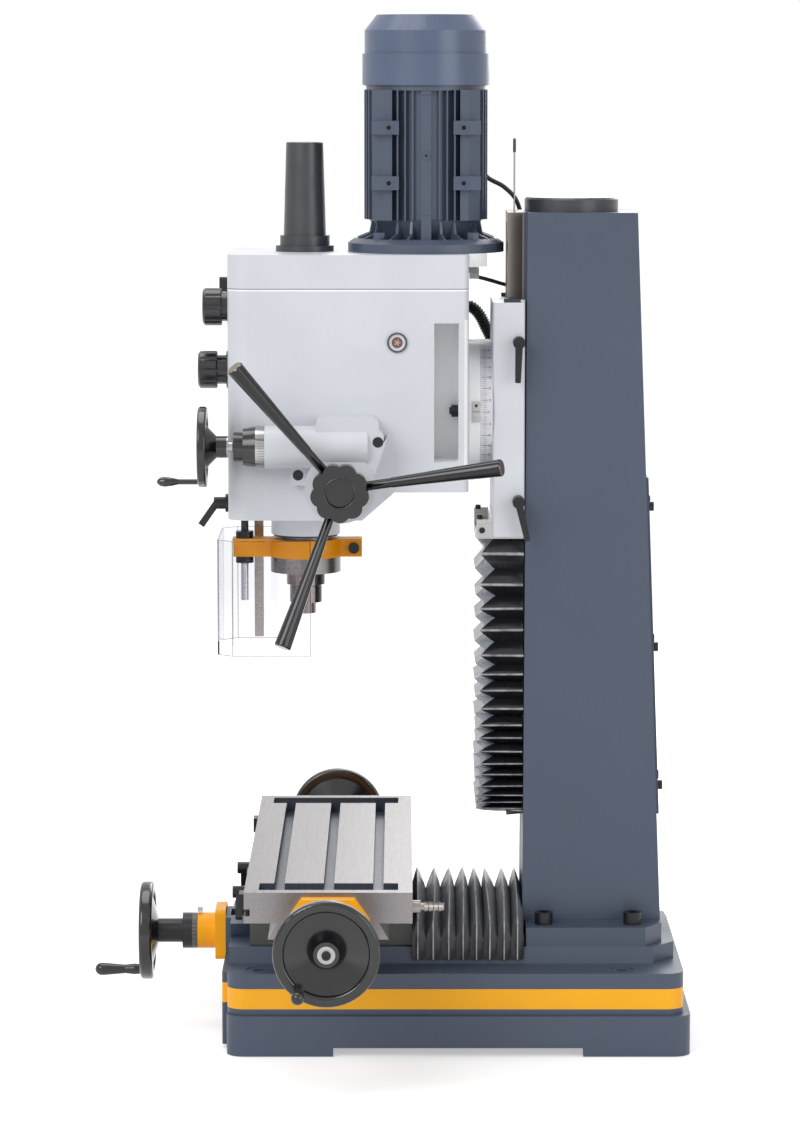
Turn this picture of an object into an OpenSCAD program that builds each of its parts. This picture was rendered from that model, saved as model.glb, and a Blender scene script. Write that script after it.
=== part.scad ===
// Gear head mill drill on a dovetail column: compound table, swivelling gear
// head, quill with capstan and fine feed, finned motor and pleated way covers.
// X is the operator's right, Y runs away from the operator and Z is up.
// The origin is the centre of the four hold-down bolts, on the floor.

/* [Base] */
// Width of the base casting at its skirt
base_w = 470; // [462:1:490]
// Distance from the bolt centre to the front of the base
base_front = 314; // [308:1:320]
// Distance from the bolt centre to the back of the base
base_rear = 368; // [362:1:390]
// Height of the top of the base body
base_h = 122; // [118:1:126]
// Height of the skirt below the ledge
skirt_h = 60; // [50:1:70]
// Height of the arches between the feet
foot_h = 12.6; // [8:0.1:16]
// Thickness of the base walls
base_wall = 14; // [10:1:16]
// Spacing of the hold-down bolts across the base
bolt_dx = 390; // [384:1:396]
// Spacing of the hold-down bolts from front to back
bolt_dy = 535; // [525:1:540]
// Diameter of the hold-down bolt holes
bolt_hole_d = 16; // [12:0.5:18]

/* [Ways] */
// Width of the ground ways on the base
way_w = 300; // [296:1:304]
// Height of the ways above the base body
way_rise = 24.3; // [22:0.1:26]
// Width over the top of the base dovetail
base_dovetail_w = 176; // [170:1:182]
// Height of the base dovetail
base_dovetail_h = 22; // [20:0.5:24]
// Angle of every dovetail from the vertical
dovetail_angle = 30; // [28:1:32]
// Running clearance of sliding and turning fits
run_gap = 0.3; // [0.2:0.05:0.4]

/* [Column] */
// Width of the column foot
col_foot_w = 300; // [296:1:304]
// Distance from the bolt centre to the front of the column foot
col_front = 128; // [126:1:130]
// Depth of the column foot from front to back
col_foot_d = 203; // [198:1:210]
// Height of the column foot flange
col_foot_h = 28.5; // [24:0.5:34]
// Width of the column where it leaves the foot
col_w_low = 180; // [176:1:190]
// Width of the column at its top
col_w_top = 170; // [164:1:174]
// Depth of the column where it leaves the foot
col_d_low = 206; // [200:1:208]
// Depth of the column at its top
col_d_top = 162; // [156:1:170]
// Height of the column above the floor
col_top = 1229; // [1225:1:1260]
// Wall thickness of the column
col_wall = 16; // [14:1:18]
// Width over the face of the column dovetail
col_dovetail_w = 140; // [136:1:142]
// Depth of the column dovetail
col_dovetail_d = 28; // [27:0.5:29]
// Diameter of the round cap on the column
cap_d = 139; // [130:1:146]
// Height of the round cap
cap_h = 21; // [16:1:26]

/* [Saddle and table] */
// Width of the saddle along the table
saddle_w = 284; // [276:1:290]
// Height of the saddle
saddle_h = 86; // [84:1:90]
// Length of the table
table_l = 800; // [780:5:860]
// Depth of the table
table_d = 240; // [236:1:244]
// Thickness of the table
table_t = 44.4; // [42:0.2:48]
// Distance from the bolt centre forward to the middle of the table
table_y = 161; // [159:1:163]
// Pitch of the T-slots
slot_pitch = 71; // [68:1:73]
// Width of the T-slots
slot_w = 15; // [14:0.5:16]
// Depth of the T-slots
slot_h = 23; // [21:0.5:24]
// Width of the undercut of the T-slots
slot_undercut_w = 25; // [23:0.5:27]
// Width over the bottom of the table dovetail
table_dovetail_w = 172; // [166:1:176]
// Height of the table dovetail
table_dovetail_h = 23.3; // [21:0.1:24]

/* [Feed screws and handwheels] */
// Diameter of the feed screws
screw_d = 20; // [18:0.5:20]
// Height of the cross feed screw above the floor
y_screw_z = 140; // [139:1:142]
// Height of the table feed screw above the table dovetail bottom
x_screw_rise = 11.5; // [11:0.1:12]
// Diameter of the cross feed handwheel
y_wheel_d = 148; // [130:1:152]
// Diameter of the table handwheels
x_wheel_d = 150; // [130:1:154]
// Thickness of a handwheel rim
rim_t = 20; // [14:1:24]
// How far each X handwheel's face is past the table's end
x_wheel_out = 160; // [150:1:190]
// How far the Y handwheel's face is in front of the base
y_wheel_out = 138; // [134:1:156]

/* [Head slide] */
// Height of the lower edge of the head slide, at rest
slide_z = 752; // [740:1:760]
// Height of the head slide
slide_h = 346; // [336:1:356]
// Width of the head slide
slide_w = 192; // [186:1:196]
// Thickness of the head slide
slide_t = 47.3; // [46.5:0.1:48]
// Height of the swivel axis above the lower edge of the slide
swivel_rise = 185; // [178:1:190]
// Diameter of the graduated swivel ring
swivel_d = 202; // [198:1:206]
// Width of the graduated swivel ring from front to back
swivel_ring_w = 17.5; // [16:0.5:19]

/* [Head] */
// Width of the head
head_w = 280; // [272:1:284]
// Distance from the column dovetail to the spindle axis
throat = 300.5; // [299:0.5:302]
// Distance from the spindle axis to the front of the head
head_nose = 111.5; // [106:0.5:118]
// Depth of the head from its front to its rear plate
head_d = 353.7; // [350:0.1:357]
// Height from the lower face of the head to the top of its lid
head_h = 389; // [385:1:400]
// Height of the swivel axis above the lower face of the head
axis_rise = 156.5; // [154:0.5:160]
// Height of the lid
lid_h = 49.8; // [44:0.2:54]
// Wall thickness of the head
head_wall = 12; // [10:0.5:13]

/* [Motor] */
// Distance from the spindle axis back to the motor axis
motor_back = 180; // [179:0.5:181]
// Diameter of the motor flange
motor_flange_d = 232; // [220:1:233]
// Diameter over the cooling fins
fin_d = 183; // [176:1:188]
// Length of the finned body
fin_h = 191; // [180:1:205]
// Number of cooling fins
fin_count = 48; // [36:1:52]
// Diameter of the fan cover
fan_cover_d = 188.5; // [184:0.5:194]

/* [Spindle and quill] */
// Diameter of the quill
quill_d = 75; // [73:0.5:76]
// Travel of the quill
quill_travel = 130; // [110:1:130]
// Diameter of the boss that guides the quill
quill_boss_d = 103; // [98:1:106]
// Diameter of the quill nose
nose_d = 105; // [100:1:108]
// Diameter of the spindle socket
socket_d = 24.2; // [20:0.1:25]
// Diameter of the spindle shank behind its nose
spindle_d = 40; // [36:1:42]
// Diameter of the depth rod
depth_rod_d = 11.5; // [10:0.5:13]

/* [Capstan and fine feed] */
// Number of capstan arms
arm_count = 3; // [3:1:4]
// Length of a capstan arm from the axis to the end of its grip
arm_l = 247; // [190:1:250]
// Lean of the capstan arms away from the head
arm_lean = 17; // [15:1:20]
// Diameter of the clutch knob
clutch_d = 85; // [76:1:90]
// Diameter of the fine feed handwheel
fine_wheel_d = 118; // [100:1:124]
// Pitch radius of the quill pinion
pinion_r = 17.5; // [17:0.1:18]

/* [Guard] */
// Width of the clear guard
guard_w = 210; // [200:1:214]
// Depth of the clear guard
guard_d = 139; // [130:1:144]
// Height of the clear guard
guard_h = 172; // [150:1:176]
// Thickness of the clear guard
guard_t = 3; // [3:0.5:4]

/* [Way covers] */
// Folds in the vertical way cover
tall_folds = 17; // [12:1:18]
// Folds in the front way cover
low_folds = 8; // [6:1:9]
// Depth of a fold
fold_d = 24; // [20:1:25]
// Thickness of the cover cloth
cloth_t = 1.5; // [1.2:0.1:2]

/* [Hidden] */
$fn = 64;

// Overrun of every cut past the face that it opens
over = 1;
// Radial clearance of a shaft in its hole
fit_gap = 0.08;
// Clearance of a bolt in its hole
bolt_gap = 0.4;
// Slope of a dovetail side for each unit of its height
lean = tan(dovetail_angle);
// Share of a hexagon's width across corners that its width across flats is
hex_share = cos(30);

// Sizes of the base
base_corner_r = 26;
base_ledge = 8;
apron_w = 360;
apron_t = 8;
apron_lift = 6;
boss_d = 50;
spot_d = 36;
spot_depth = 1.5;
base_rib_t = 12;
foot_front_l = 157;
foot_rear_l = 158;
foot_side_l = 115;
base_roof = 26;
base_trough_w = 48;
way_flare = 6;
y_pad_w = 88;
base_upper_w = base_w - 2 * base_ledge;
base_upper_rear = base_rear - base_ledge - base_ledge / 4;
base_upper_front = base_front - run_gap * 3;
way_z = base_h + way_rise;
base_dovetail_z = way_z + base_dovetail_h;
trough_z = way_z - 2 * base_dovetail_h + base_ledge;
pedestal_rear = col_front + col_foot_d + way_flare * 3;

// Sizes of the column
col_foot_chamfer_x = 40;
col_foot_chamfer_y = 26;
col_foot_z = way_z + col_foot_h;
col_wall_y0 = 124;
col_wall_lean = 4.6;
col_slot_w = 44;
col_way_z0 = 330;
col_way_z1 = col_top;
way_face_y = col_wall_y0 + col_wall_lean - col_dovetail_d - run_gap * 2;
col_roof_t = 16;
col_bolt_x = 120;
col_bolt_y = [155, 287];
col_bolt_d = 14;
col_bolt_head_d = 27;
col_bolt_head_h = 18;
cover_w = 118;
cover_t = 5;
cover_z = [330, 836];
cover_screw_x = 46;
cover_screw_z = [372, 581, 792];
cover_screw_d = 8;
cover_head_d = 14;
cover_head_h = 7;
cap_y = 196;
cap_spigot_h = 12;
lift_screw_d = 28;
crank_z = 300;
crank_shaft_d = 20;
bevel_r = 40;
lift_y = col_wall_y0 + col_wall + bevel_r + 2 * over;
bevel_h = 20;
crank_arm_l = 110;
crank_arm_t = 14;
crank_boss_d = 46;
crank_grip_l = 90;
crank_grip_d = 26;
lift_foot_gap = 8;

// Places of the table, the saddle and the screws
saddle_z0 = way_z + run_gap;
saddle_top = saddle_z0 + saddle_h - table_dovetail_h;
saddle_land_z = saddle_top + table_dovetail_h;
table_z0 = saddle_land_z + run_gap;
table_top = table_z0 + table_t;
table_y0 = -table_y - table_d / 2;
table_y1 = -table_y + table_d / 2;
x_screw_z = table_z0 - table_dovetail_h + x_screw_rise;
saddle_y0 = table_y0 - run_gap * 3;
saddle_y1 = table_y1;

// Places of the slide and the head
slide_y1 = col_wall_y0 + over;
slide_y0 = slide_y1 - slide_t;
axis_z = slide_z + swivel_rise;
ring_y0 = slide_y0 - swivel_ring_w;
spindle_y = way_face_y - throat;
head_front = spindle_y - head_nose;
head_rear = head_front + head_d;
head_z0 = axis_z - axis_rise;
head_top = head_z0 + head_h;
lid_z = head_top - lid_h;
motor_y = spindle_y + motor_back;

// Round bar along X
module bar_x(d, x0, x1, y = 0, z = 0) {
    translate([x0, y, z]) rotate([0, 90, 0]) cylinder(d = d, h = x1 - x0);
}

// Round bar along Y
module bar_y(d, y0, y1, x = 0, z = 0) {
    translate([x, y0, z]) rotate([-90, 0, 0]) cylinder(d = d, h = y1 - y0);
}

// Round bar along Z
module bar_z(d, z0, z1, x = 0, y = 0) {
    translate([x, y, z0]) cylinder(d = d, h = z1 - z0);
}

// Block between two corners
module block(x0, x1, y0, y1, z0, z1) {
    translate([x0, y0, z0]) cube([x1 - x0, y1 - y0, z1 - z0]);
}

// Outline in Y and Z carried along X
module along_x(x0, x1) {
    translate([x0, 0, 0]) rotate([90, 0, 90]) linear_extrude(height = x1 - x0) children();
}

// Outline in X and Z carried along Y
module along_y(y0, y1) {
    translate([0, y1, 0]) rotate([90, 0, 0]) linear_extrude(height = y1 - y0) children();
}

// Outline in X and Y carried along Z
module along_z(z0, z1) {
    translate([0, 0, z0]) linear_extrude(height = z1 - z0) children();
}

// Outline turned about the Y axis, with its height along Y
module turned_y(x, y, z) {
    translate([x, y, z]) rotate([-90, 0, 0]) rotate_extrude() children();
}

// Outline turned about the X axis, with its height along X
module turned_x(x, y, z) {
    translate([x, y, z]) rotate([0, 90, 0]) rotate_extrude() children();
}

// Rectangle with round corners
module round_rect(x0, x1, y0, y1, r) {
    translate([x0 + r, y0]) square([x1 - x0 - 2 * r, y1 - y0]);
    translate([x0, y0 + r]) square([x1 - x0, y1 - y0 - 2 * r]);
    for (x = [x0 + r, x1 - r], y = [y0 + r, y1 - r]) translate([x, y]) circle(r);
}

// Section of a male dovetail with its wide side up
module dovetail_up(top_w, h, z0, grow = 0) {
    foot = top_w / 2 - h * lean;
    polygon([
        [-foot - grow, z0], [foot + grow, z0],
        [top_w / 2 + grow, z0 + h + grow], [-top_w / 2 - grow, z0 + h + grow]
    ]);
}

// Socket head screw along Z with its seat at z
module socket_screw(x, y, z, d, length, head_d, head_h) {
    difference() {
        union() {
            bar_z(head_d, z, z + head_h, x, y);
            bar_z(d, z - length, z + over, x, y);
        }
        translate([x, y, z + head_h / 2]) cylinder(d = head_d * 0.6, h = head_h, $fn = 6);
    }
}

// Outline of a clamping lever's arm hanging from its hub
module lever_arm(length) {
    polygon([
        [-lock_arm_r0, 0], [-lock_arm_r1, over - length], [over - lock_arm_r1, -length],
        [lock_arm_r1 - over, -length], [lock_arm_r1, over - length], [lock_arm_r0, 0]
    ]);
}

// Gear blank with trapezoid teeth
module gear(outer_r, tooth_h, teeth, h, bore) {
    step = 360 / teeth;
    root_r = outer_r - tooth_h;
    linear_extrude(height = h) difference() {
        polygon([for (i = [0:teeth - 1], p = [
            [root_r, -0.3], [outer_r, -0.14], [outer_r, 0.14], [root_r, 0.3]
        ]) [p[0] * cos((i + p[1]) * step), p[0] * sin((i + p[1]) * step)]]);
        circle(d = bore);
    }
}

// Outline of the base in plan, drawn in from the skirt
module base_plan(w, front, rear) {
    round_rect(-w / 2, w / 2, -front, rear, base_corner_r);
}

module base_way_block() {
    intersection() {
        along_y(-base_upper_front, pedestal_rear)
            polygon([
                [-way_w / 2 - way_flare, base_h - over], [way_w / 2 + way_flare, base_h - over],
                [way_w / 2, way_z], [-way_w / 2, way_z]
            ]);
        along_z(base_h - over, way_z) polygon([
            [-way_w, -base_front], [way_w, -base_front],
            [way_w, pedestal_rear - col_foot_chamfer_y - way_flare],
            [way_w / 2, pedestal_rear - col_foot_chamfer_y - way_flare],
            [way_w / 2 - col_foot_chamfer_x, pedestal_rear],
            [-way_w / 2 + col_foot_chamfer_x, pedestal_rear],
            [-way_w / 2, pedestal_rear - col_foot_chamfer_y - way_flare],
            [-way_w, pedestal_rear - col_foot_chamfer_y - way_flare]
        ]);
    }
}

module base_casting() {
    cells_x = 3;
    cells_y = 5;
    cell_w = (base_upper_w - 2 * base_wall - (cells_x - 1) * base_rib_t) / cells_x;
    cell_d = (base_upper_front + base_upper_rear - 2 * base_wall
        - (cells_y - 1) * base_rib_t) / cells_y;
    color("#545C6B") difference() {
        union() {
            difference() {
                union() {
                    along_z(0, skirt_h) base_plan(base_w, base_front, base_rear);
                    along_z(skirt_h - over, base_h)
                        base_plan(base_upper_w, base_upper_front, base_upper_rear);
                    along_z(apron_lift, base_h - base_ledge)
                        round_rect(-apron_w / 2, apron_w / 2, -base_front - apron_t,
                            -base_front + base_wall, apron_t / 2);
                }
                for (i = [0:cells_x - 1], j = [0:cells_y - 1])
                    translate([
                        -base_upper_w / 2 + base_wall + i * (cell_w + base_rib_t),
                        -base_upper_front + base_wall + j * (cell_d + base_rib_t), -over
                    ]) cube([cell_w, cell_d, base_h - base_roof + over]);
                block(-base_w, base_w, -base_front + foot_front_l, base_rear - foot_rear_l,
                    -over, foot_h);
                block(-base_w / 2 + foot_side_l, base_w / 2 - foot_side_l,
                    -base_front - apron_t - over, base_rear + over, -over, foot_h);
            }
            base_way_block();
            block(-y_pad_w / 2, y_pad_w / 2, -base_front - apron_t, -base_front + base_wall,
                base_h - base_wall, base_dovetail_z);
            along_y(-base_upper_front, col_front - run_gap)
                dovetail_up(base_dovetail_w, base_dovetail_h, way_z);
            for (x = [-1, 1], y = [-1, 1])
                bar_z(boss_d, 0, base_h - over, x * bolt_dx / 2, y * bolt_dy / 2);
        }
        block(-base_trough_w / 2, base_trough_w / 2, -base_front - over,
            col_front - base_trough_w / 2, trough_z, base_dovetail_z + over);
        bar_y(screw_d + 2 * fit_gap, col_front - base_trough_w / 2 - over,
            col_front, 0, y_screw_z);
        bar_y(screw_d + 2 * fit_gap, -base_front - apron_t - over, -base_front, 0, y_screw_z);
        for (x = [-1, 1], y = [-1, 1]) {
            bar_z(bolt_hole_d, -over, base_h + over, x * bolt_dx / 2, y * bolt_dy / 2);
            bar_z(spot_d, base_h - spot_depth, base_h + over, x * bolt_dx / 2, y * bolt_dy / 2);
        }
        for (x = [-1, 1], y = col_bolt_y)
            bar_z(col_bolt_d, way_z - col_foot_h, way_z + over, x * col_bolt_x, y);
    }
}

// Column body tapered in width and in depth, drawn in by a wall
module column_body(inset, z0, z1) {
    intersection() {
        along_y(0, base_rear) polygon([
            [-col_w_low / 2 + inset, col_foot_z], [col_w_low / 2 - inset, col_foot_z],
            [col_w_top / 2 - inset, col_top], [-col_w_top / 2 + inset, col_top]
        ]);
        along_x(-base_w, base_w) polygon([
            [col_wall_y0 + inset, col_foot_z],
            [col_wall_y0 + col_d_low - inset, col_foot_z],
            [col_wall_y0 + col_wall_lean + col_d_top - inset, col_top],
            [col_wall_y0 + col_wall_lean + inset, col_top]
        ]);
        block(-base_w, base_w, 0, base_rear, z0, z1);
    }
}

module column_dovetail() {
    root = col_dovetail_w / 2 - (col_dovetail_d - way_flare) * lean;
    along_z(col_way_z0, col_way_z1) polygon([
        [-col_dovetail_w / 2, way_face_y], [col_dovetail_w / 2, way_face_y],
        [root, way_face_y + col_dovetail_d - way_flare],
        [root, way_face_y + col_dovetail_d + way_flare],
        [-root, way_face_y + col_dovetail_d + way_flare],
        [-root, way_face_y + col_dovetail_d - way_flare]
    ]);
}

module column_casting() {
    color("#545C6B") difference() {
        union() {
            column_body(0, col_foot_z, col_top);
            column_dovetail();
            along_z(way_z, col_foot_z) polygon([
                [-col_foot_w / 2, col_front], [col_foot_w / 2, col_front],
                [col_foot_w / 2, col_front + col_foot_d - col_foot_chamfer_y],
                [col_foot_w / 2 - col_foot_chamfer_x, col_front + col_foot_d],
                [-col_foot_w / 2 + col_foot_chamfer_x, col_front + col_foot_d],
                [-col_foot_w / 2, col_front + col_foot_d - col_foot_chamfer_y]
            ]);
        }
        difference() {
            column_body(col_wall, col_foot_z, col_top - col_roof_t);
            block(-col_wall, col_wall, 0, base_rear, col_foot_z, col_foot_z + col_roof_t);
        }
        block(-col_slot_w / 2, col_slot_w / 2, way_face_y - over, lift_y,
            col_way_z0 + col_wall, col_top - col_wall);
        bar_z(cap_d - 4 * cap_spigot_h, col_top - col_roof_t - over, col_top + over, 0, cap_y);
        bar_x(crank_shaft_d + 2 * fit_gap, -col_w_low, 0, lift_y, crank_z);
        bar_z(lift_screw_d + 2 * fit_gap, way_z + lift_foot_gap, crank_z, 0, lift_y);
        for (x = [-1, 1], y = col_bolt_y)
            bar_z(col_bolt_d, way_z - over, col_foot_z + over, x * col_bolt_x, y);
    }
}

module column_screws() {
    color("dimgray") {
        for (x = [-1, 1], y = col_bolt_y)
            socket_screw(x * col_bolt_x, y, col_foot_z, col_bolt_d - bolt_gap,
                2 * col_foot_h - bolt_gap, col_bolt_head_d, col_bolt_head_h);
        for (x = [-1, 1], z = cover_screw_z)
            bar_y(cover_head_d, cover_y(z) + cover_t + run_gap,
                cover_y(z) + cover_t + cover_head_h, x * cover_screw_x, z);
    }
}

// Back of the column at a height
function cover_y(z) = col_wall_y0 + col_d_low
    - (z - col_foot_z) / (col_top - col_foot_z) * (col_d_low - col_wall_lean - col_d_top);

module column_back_cover() {
    color("#545C6B") along_x(-cover_w / 2, cover_w / 2) polygon([
        [cover_y(cover_z[0]), cover_z[0]], [cover_y(cover_z[1]), cover_z[1]],
        [cover_y(cover_z[1]) + cover_t, cover_z[1]], [cover_y(cover_z[0]) + cover_t, cover_z[0]]
    ]);
}

module column_cap() {
    dome = 3;
    color("#17181A") translate([0, cap_y, col_top]) rotate_extrude() polygon([
        [0, 0], [cap_d / 2, 0], [cap_d / 2, cap_h - dome], [cap_d / 2 - dome, cap_h], [0, cap_h]
    ]);
    color("#17181A") bar_z(cap_d - 4 * cap_spigot_h - run_gap, col_top - cap_spigot_h,
        col_top + over, 0, cap_y);
}

// Bevel wheel with its point at the origin, opening along Z
module bevel_wheel() {
    teeth = 16;
    difference() {
        translate([0, 0, bevel_r - bevel_h])
            cylinder(r1 = bevel_r - bevel_h - run_gap, r2 = bevel_r - run_gap, h = bevel_h);
        for (i = [0:teeth - 1]) rotate([0, 0, i * 360 / teeth]) rotate([0, -45, 0])
            translate([bevel_r / 2, -over, -over]) cube([bevel_r * 2, 2 * over, 2 * over]);
    }
}

module lift_screw() {
    color("silver") {
        bar_z(lift_screw_d, way_z + lift_foot_gap, col_top - col_roof_t - fit_gap, 0, lift_y);
        translate([0, lift_y, crank_z]) bevel_wheel();
    }
}

module lift_crank() {
    x0 = -col_w_low / 2 - crank_boss_d;
    color("#17181A") {
        bar_x(crank_shaft_d, x0, -bevel_r + bevel_h - over, lift_y, crank_z);
        translate([0, lift_y, crank_z]) rotate([0, -90, 0]) bevel_wheel();
        bar_x(crank_boss_d, x0 - crank_arm_t, x0, lift_y, crank_z);
        block(x0 - crank_arm_t, x0, lift_y - crank_boss_d / 4, lift_y + crank_boss_d / 4,
            crank_z, crank_z + crank_arm_l);
        bar_x(crank_boss_d / 2, x0 - crank_arm_t, x0, lift_y, crank_z + crank_arm_l);
        translate([x0 - crank_arm_t - crank_grip_l, lift_y, crank_z + crank_arm_l])
            rotate([0, 90, 0])
            cylinder(d1 = crank_grip_d, d2 = crank_grip_d * 0.7, h = crank_grip_l);
    }
}

// Sizes of the cross feed
y_flange_w = 76;
y_flange_t = 16;
y_nose_d = 54;
y_nose_l = 28;
y_dial_l = 22;
wheel_hub_d = 36;
wheel_bore = screw_d - 4;
rim_w = 16;
web_t = 7;
stud_d = 8;
y_grip_l = 70;
y_grip_r = 60;
grip_d0 = 15;
grip_d1 = 19;
y_flange_y = -base_front - apron_t - y_flange_t;
y_nose_y = y_flange_y - y_nose_l;
y_dial_y = y_nose_y - run_gap;

// Sizes of the saddle
gib_t = 6;
lock_x = 95;
lock_rise = 8.7;
lock_hub_d = 18;
lock_hub_l = 27;
lock_stud_d = 10;
lock_web_t = 2.3;
lock_stud_l = -table_y - table_dovetail_w / 2 - gib_t - 2 * run_gap - lock_web_t - saddle_y0;
lock_arm_l = 44;
lock_arm_r0 = 5.6;
lock_arm_r1 = 4.1;
lock_arm_t = 10;
lock_arm_out = 12;
lock_turns = [-10, 35];
nut_w = 34;
nut_l = 44;
centre_stop_w = 42;
centre_stop_h = 16;
saddle_pocket_h = 34;

// Sizes of the table
trough_end_gap = 20;
trough_l = 50;
trough_x1 = table_l / 2 - trough_end_gap;
trough_x0 = trough_x1 - trough_l;
trough_w = 199;
trough_d = 9;
side_groove_h = 10;
side_groove_d = 8.5;
side_groove_rise = 10.3;
stop_end_gap = 95;
stop_x = table_l / 2 - stop_end_gap;
stop_w = 30;
stop_proud = 10;
stop_lip = 6;
nut_channel_w = 44;
nipple_end_gap = 30;
nipple_x = table_l / 2 - nipple_end_gap;
nipple_rise = 18.3;
nipple_d = 15;
nipple_l = 45;
bracket_t = 22;
bracket_top_w = 75;
bracket_low_w = 118;
bracket_drop = 62;
bracket_top_gap = 6;
bracket_nose_d = 60;
bracket_nose_l = 26;
x_dial_d = 62;
x_dial_l = 26;
x_grip_l = 70;
x_grip_r = 61;
x_grip_turn = 231;
x_wheel_reach = table_l / 2 + x_wheel_out;
y_wheel_reach = base_front + y_wheel_out;
x_wheel_in = x_wheel_reach - rim_t - web_t;
x_nose_x = table_l / 2 + bracket_t + bracket_nose_l;

// Section of a male dovetail with its wide side down, across Y
module dovetail_down(bottom_w, h, z1, grow = 0) {
    neck = bottom_w / 2 - h * lean;
    translate([-table_y, 0]) polygon([
        [-bottom_w / 2 - grow, z1 - h - grow], [bottom_w / 2 + grow, z1 - h - grow],
        [neck + grow, z1], [-neck - grow, z1]
    ]);
}

// Section of a handwheel from its hub face outwards
module wheel_section(d) {
    difference() {
        union() {
            square([wheel_hub_d / 2, rim_t + web_t]);
            translate([0, web_t]) round_rect(d / 2 - rim_w, d / 2, 0, rim_t, rim_w / 3);
            polygon([
                [0, 0], [wheel_hub_d / 2, 0], [d / 2 - rim_w / 2, web_t + rim_t / 3],
                [d / 2 - rim_w / 2, web_t + rim_t * 2 / 3], [wheel_hub_d / 2, web_t], [0, web_t]
            ]);
        }
        square([wheel_bore / 2 + fit_gap, rim_t + web_t + over]);
    }
}

// Section of a revolving grip that swells towards its end
module grip_section(length) {
    r0 = grip_d0 / 2;
    r1 = grip_d1 / 2;
    difference() {
        union() {
            polygon([
                [0, 0], [r0, 0], [r0 * 1.1, length * 0.15], [r0 * 0.9, length * 0.35],
                [r1, length * 0.8], [r1, length - r1], [0, length - r1]
            ]);
            intersection() {
                translate([0, length - r1]) circle(r1);
                square([r1, length]);
            }
        }
        square([stud_d / 2 + fit_gap, length - grip_d1 / 2]);
    }
}

module y_feed_bracket() {
    color("#F5A800") difference() {
        union() {
            along_y(y_flange_y, -base_front - apron_t) round_rect(-y_flange_w / 2,
                y_flange_w / 2, y_screw_z - y_flange_w / 2, y_screw_z + y_flange_w / 2, rim_w / 2);
            turned_y(0, y_nose_y, y_screw_z) polygon([
                [0, 0], [y_nose_d / 2 - over, 0], [y_nose_d / 2, over],
                [y_nose_d / 2, y_nose_l + over], [0, y_nose_l + over]
            ]);
        }
        bar_y(screw_d + 2 * fit_gap, y_nose_y - over, -base_front, 0, y_screw_z);
    }
}

module y_screw() {
    color("silver") {
        bar_y(screw_d, y_dial_y - y_dial_l, col_front - run_gap, 0, y_screw_z);
        bar_y(wheel_bore, -y_wheel_reach, y_dial_y - y_dial_l + over, 0, y_screw_z);
    }
}

module y_dial() {
    color("#17181A") difference() {
        union() {
            bar_y(y_nose_d, y_dial_y - y_dial_l, y_dial_y, 0, y_screw_z);
            bar_y(wheel_hub_d, -y_wheel_reach + rim_t + web_t + fit_gap,
                y_dial_y - y_dial_l + over, 0, y_screw_z);
        }
        bar_y(screw_d + 2 * fit_gap, y_dial_y - y_dial_l - fit_gap, y_dial_y + over, 0, y_screw_z);
        bar_y(wheel_bore + 2 * fit_gap, -y_wheel_reach, y_dial_y, 0, y_screw_z);
    }
}

module y_handwheel() {
    color("#17181A") {
        translate([0, -y_wheel_reach + rim_t + web_t, y_screw_z]) rotate([90, 0, 0])
            rotate_extrude() wheel_section(y_wheel_d);
        bar_y(stud_d, -y_wheel_reach - y_grip_l + grip_d1 / 2 + over, -y_wheel_reach + over,
            0, y_screw_z - y_grip_r);
    }
}

module y_grip() {
    color("#17181A") translate([0, -y_wheel_reach - fit_gap, y_screw_z - y_grip_r])
        rotate([90, 0, 0]) rotate_extrude() grip_section(y_grip_l);
}

module saddle_casting() {
    y_neck = base_dovetail_w / 2 - base_dovetail_h * lean;
    color("#3D4038") difference() {
        block(-saddle_w / 2, saddle_w / 2, saddle_y0, saddle_y1, saddle_z0, saddle_land_z);
        along_y(saddle_y0 - over, saddle_y1 + over) {
            dovetail_up(base_dovetail_w, base_dovetail_h, way_z, run_gap);
            polygon([
                [y_neck, way_z - over], [y_neck + gib_t + 2 * run_gap, way_z - over],
                [base_dovetail_w / 2 + gib_t + 2 * run_gap, base_dovetail_z + run_gap],
                [0, base_dovetail_z + run_gap]
            ]);
            translate([-y_neck, way_z - over]) square([2 * y_neck, 2 * over]);
        }
        along_x(-saddle_w / 2 - over, saddle_w / 2 + over) {
            dovetail_down(table_dovetail_w, table_dovetail_h + over, table_z0 + over, run_gap);
            translate([-table_y, 0]) polygon([
                [0, saddle_top],
                [-table_dovetail_w / 2 - gib_t - 2 * run_gap, saddle_top],
                [-table_dovetail_w / 2 - gib_t + table_dovetail_h * lean, table_z0 + over],
                [0, table_z0 + over]
            ]);
        }
        for (x = [-1, 1]) bar_y(lock_stud_d + 2 * fit_gap, saddle_y0 - over,
            saddle_y0 + lock_stud_l, x * lock_x, saddle_top + lock_rise);
        for (y = [saddle_y0, saddle_y1])
            block(-lock_x + lock_ball_d, lock_x - lock_ball_d, y - over * 4, y + over * 4,
                base_dovetail_z + base_ledge, base_dovetail_z + saddle_pocket_h);
    }
    color("#3D4038") block(-centre_stop_w, 0, saddle_y0 - stop_proud + run_gap, saddle_y0 + stop_lip,
        saddle_land_z - centre_stop_h - base_ledge, saddle_land_z - base_ledge / 2);
}

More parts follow.
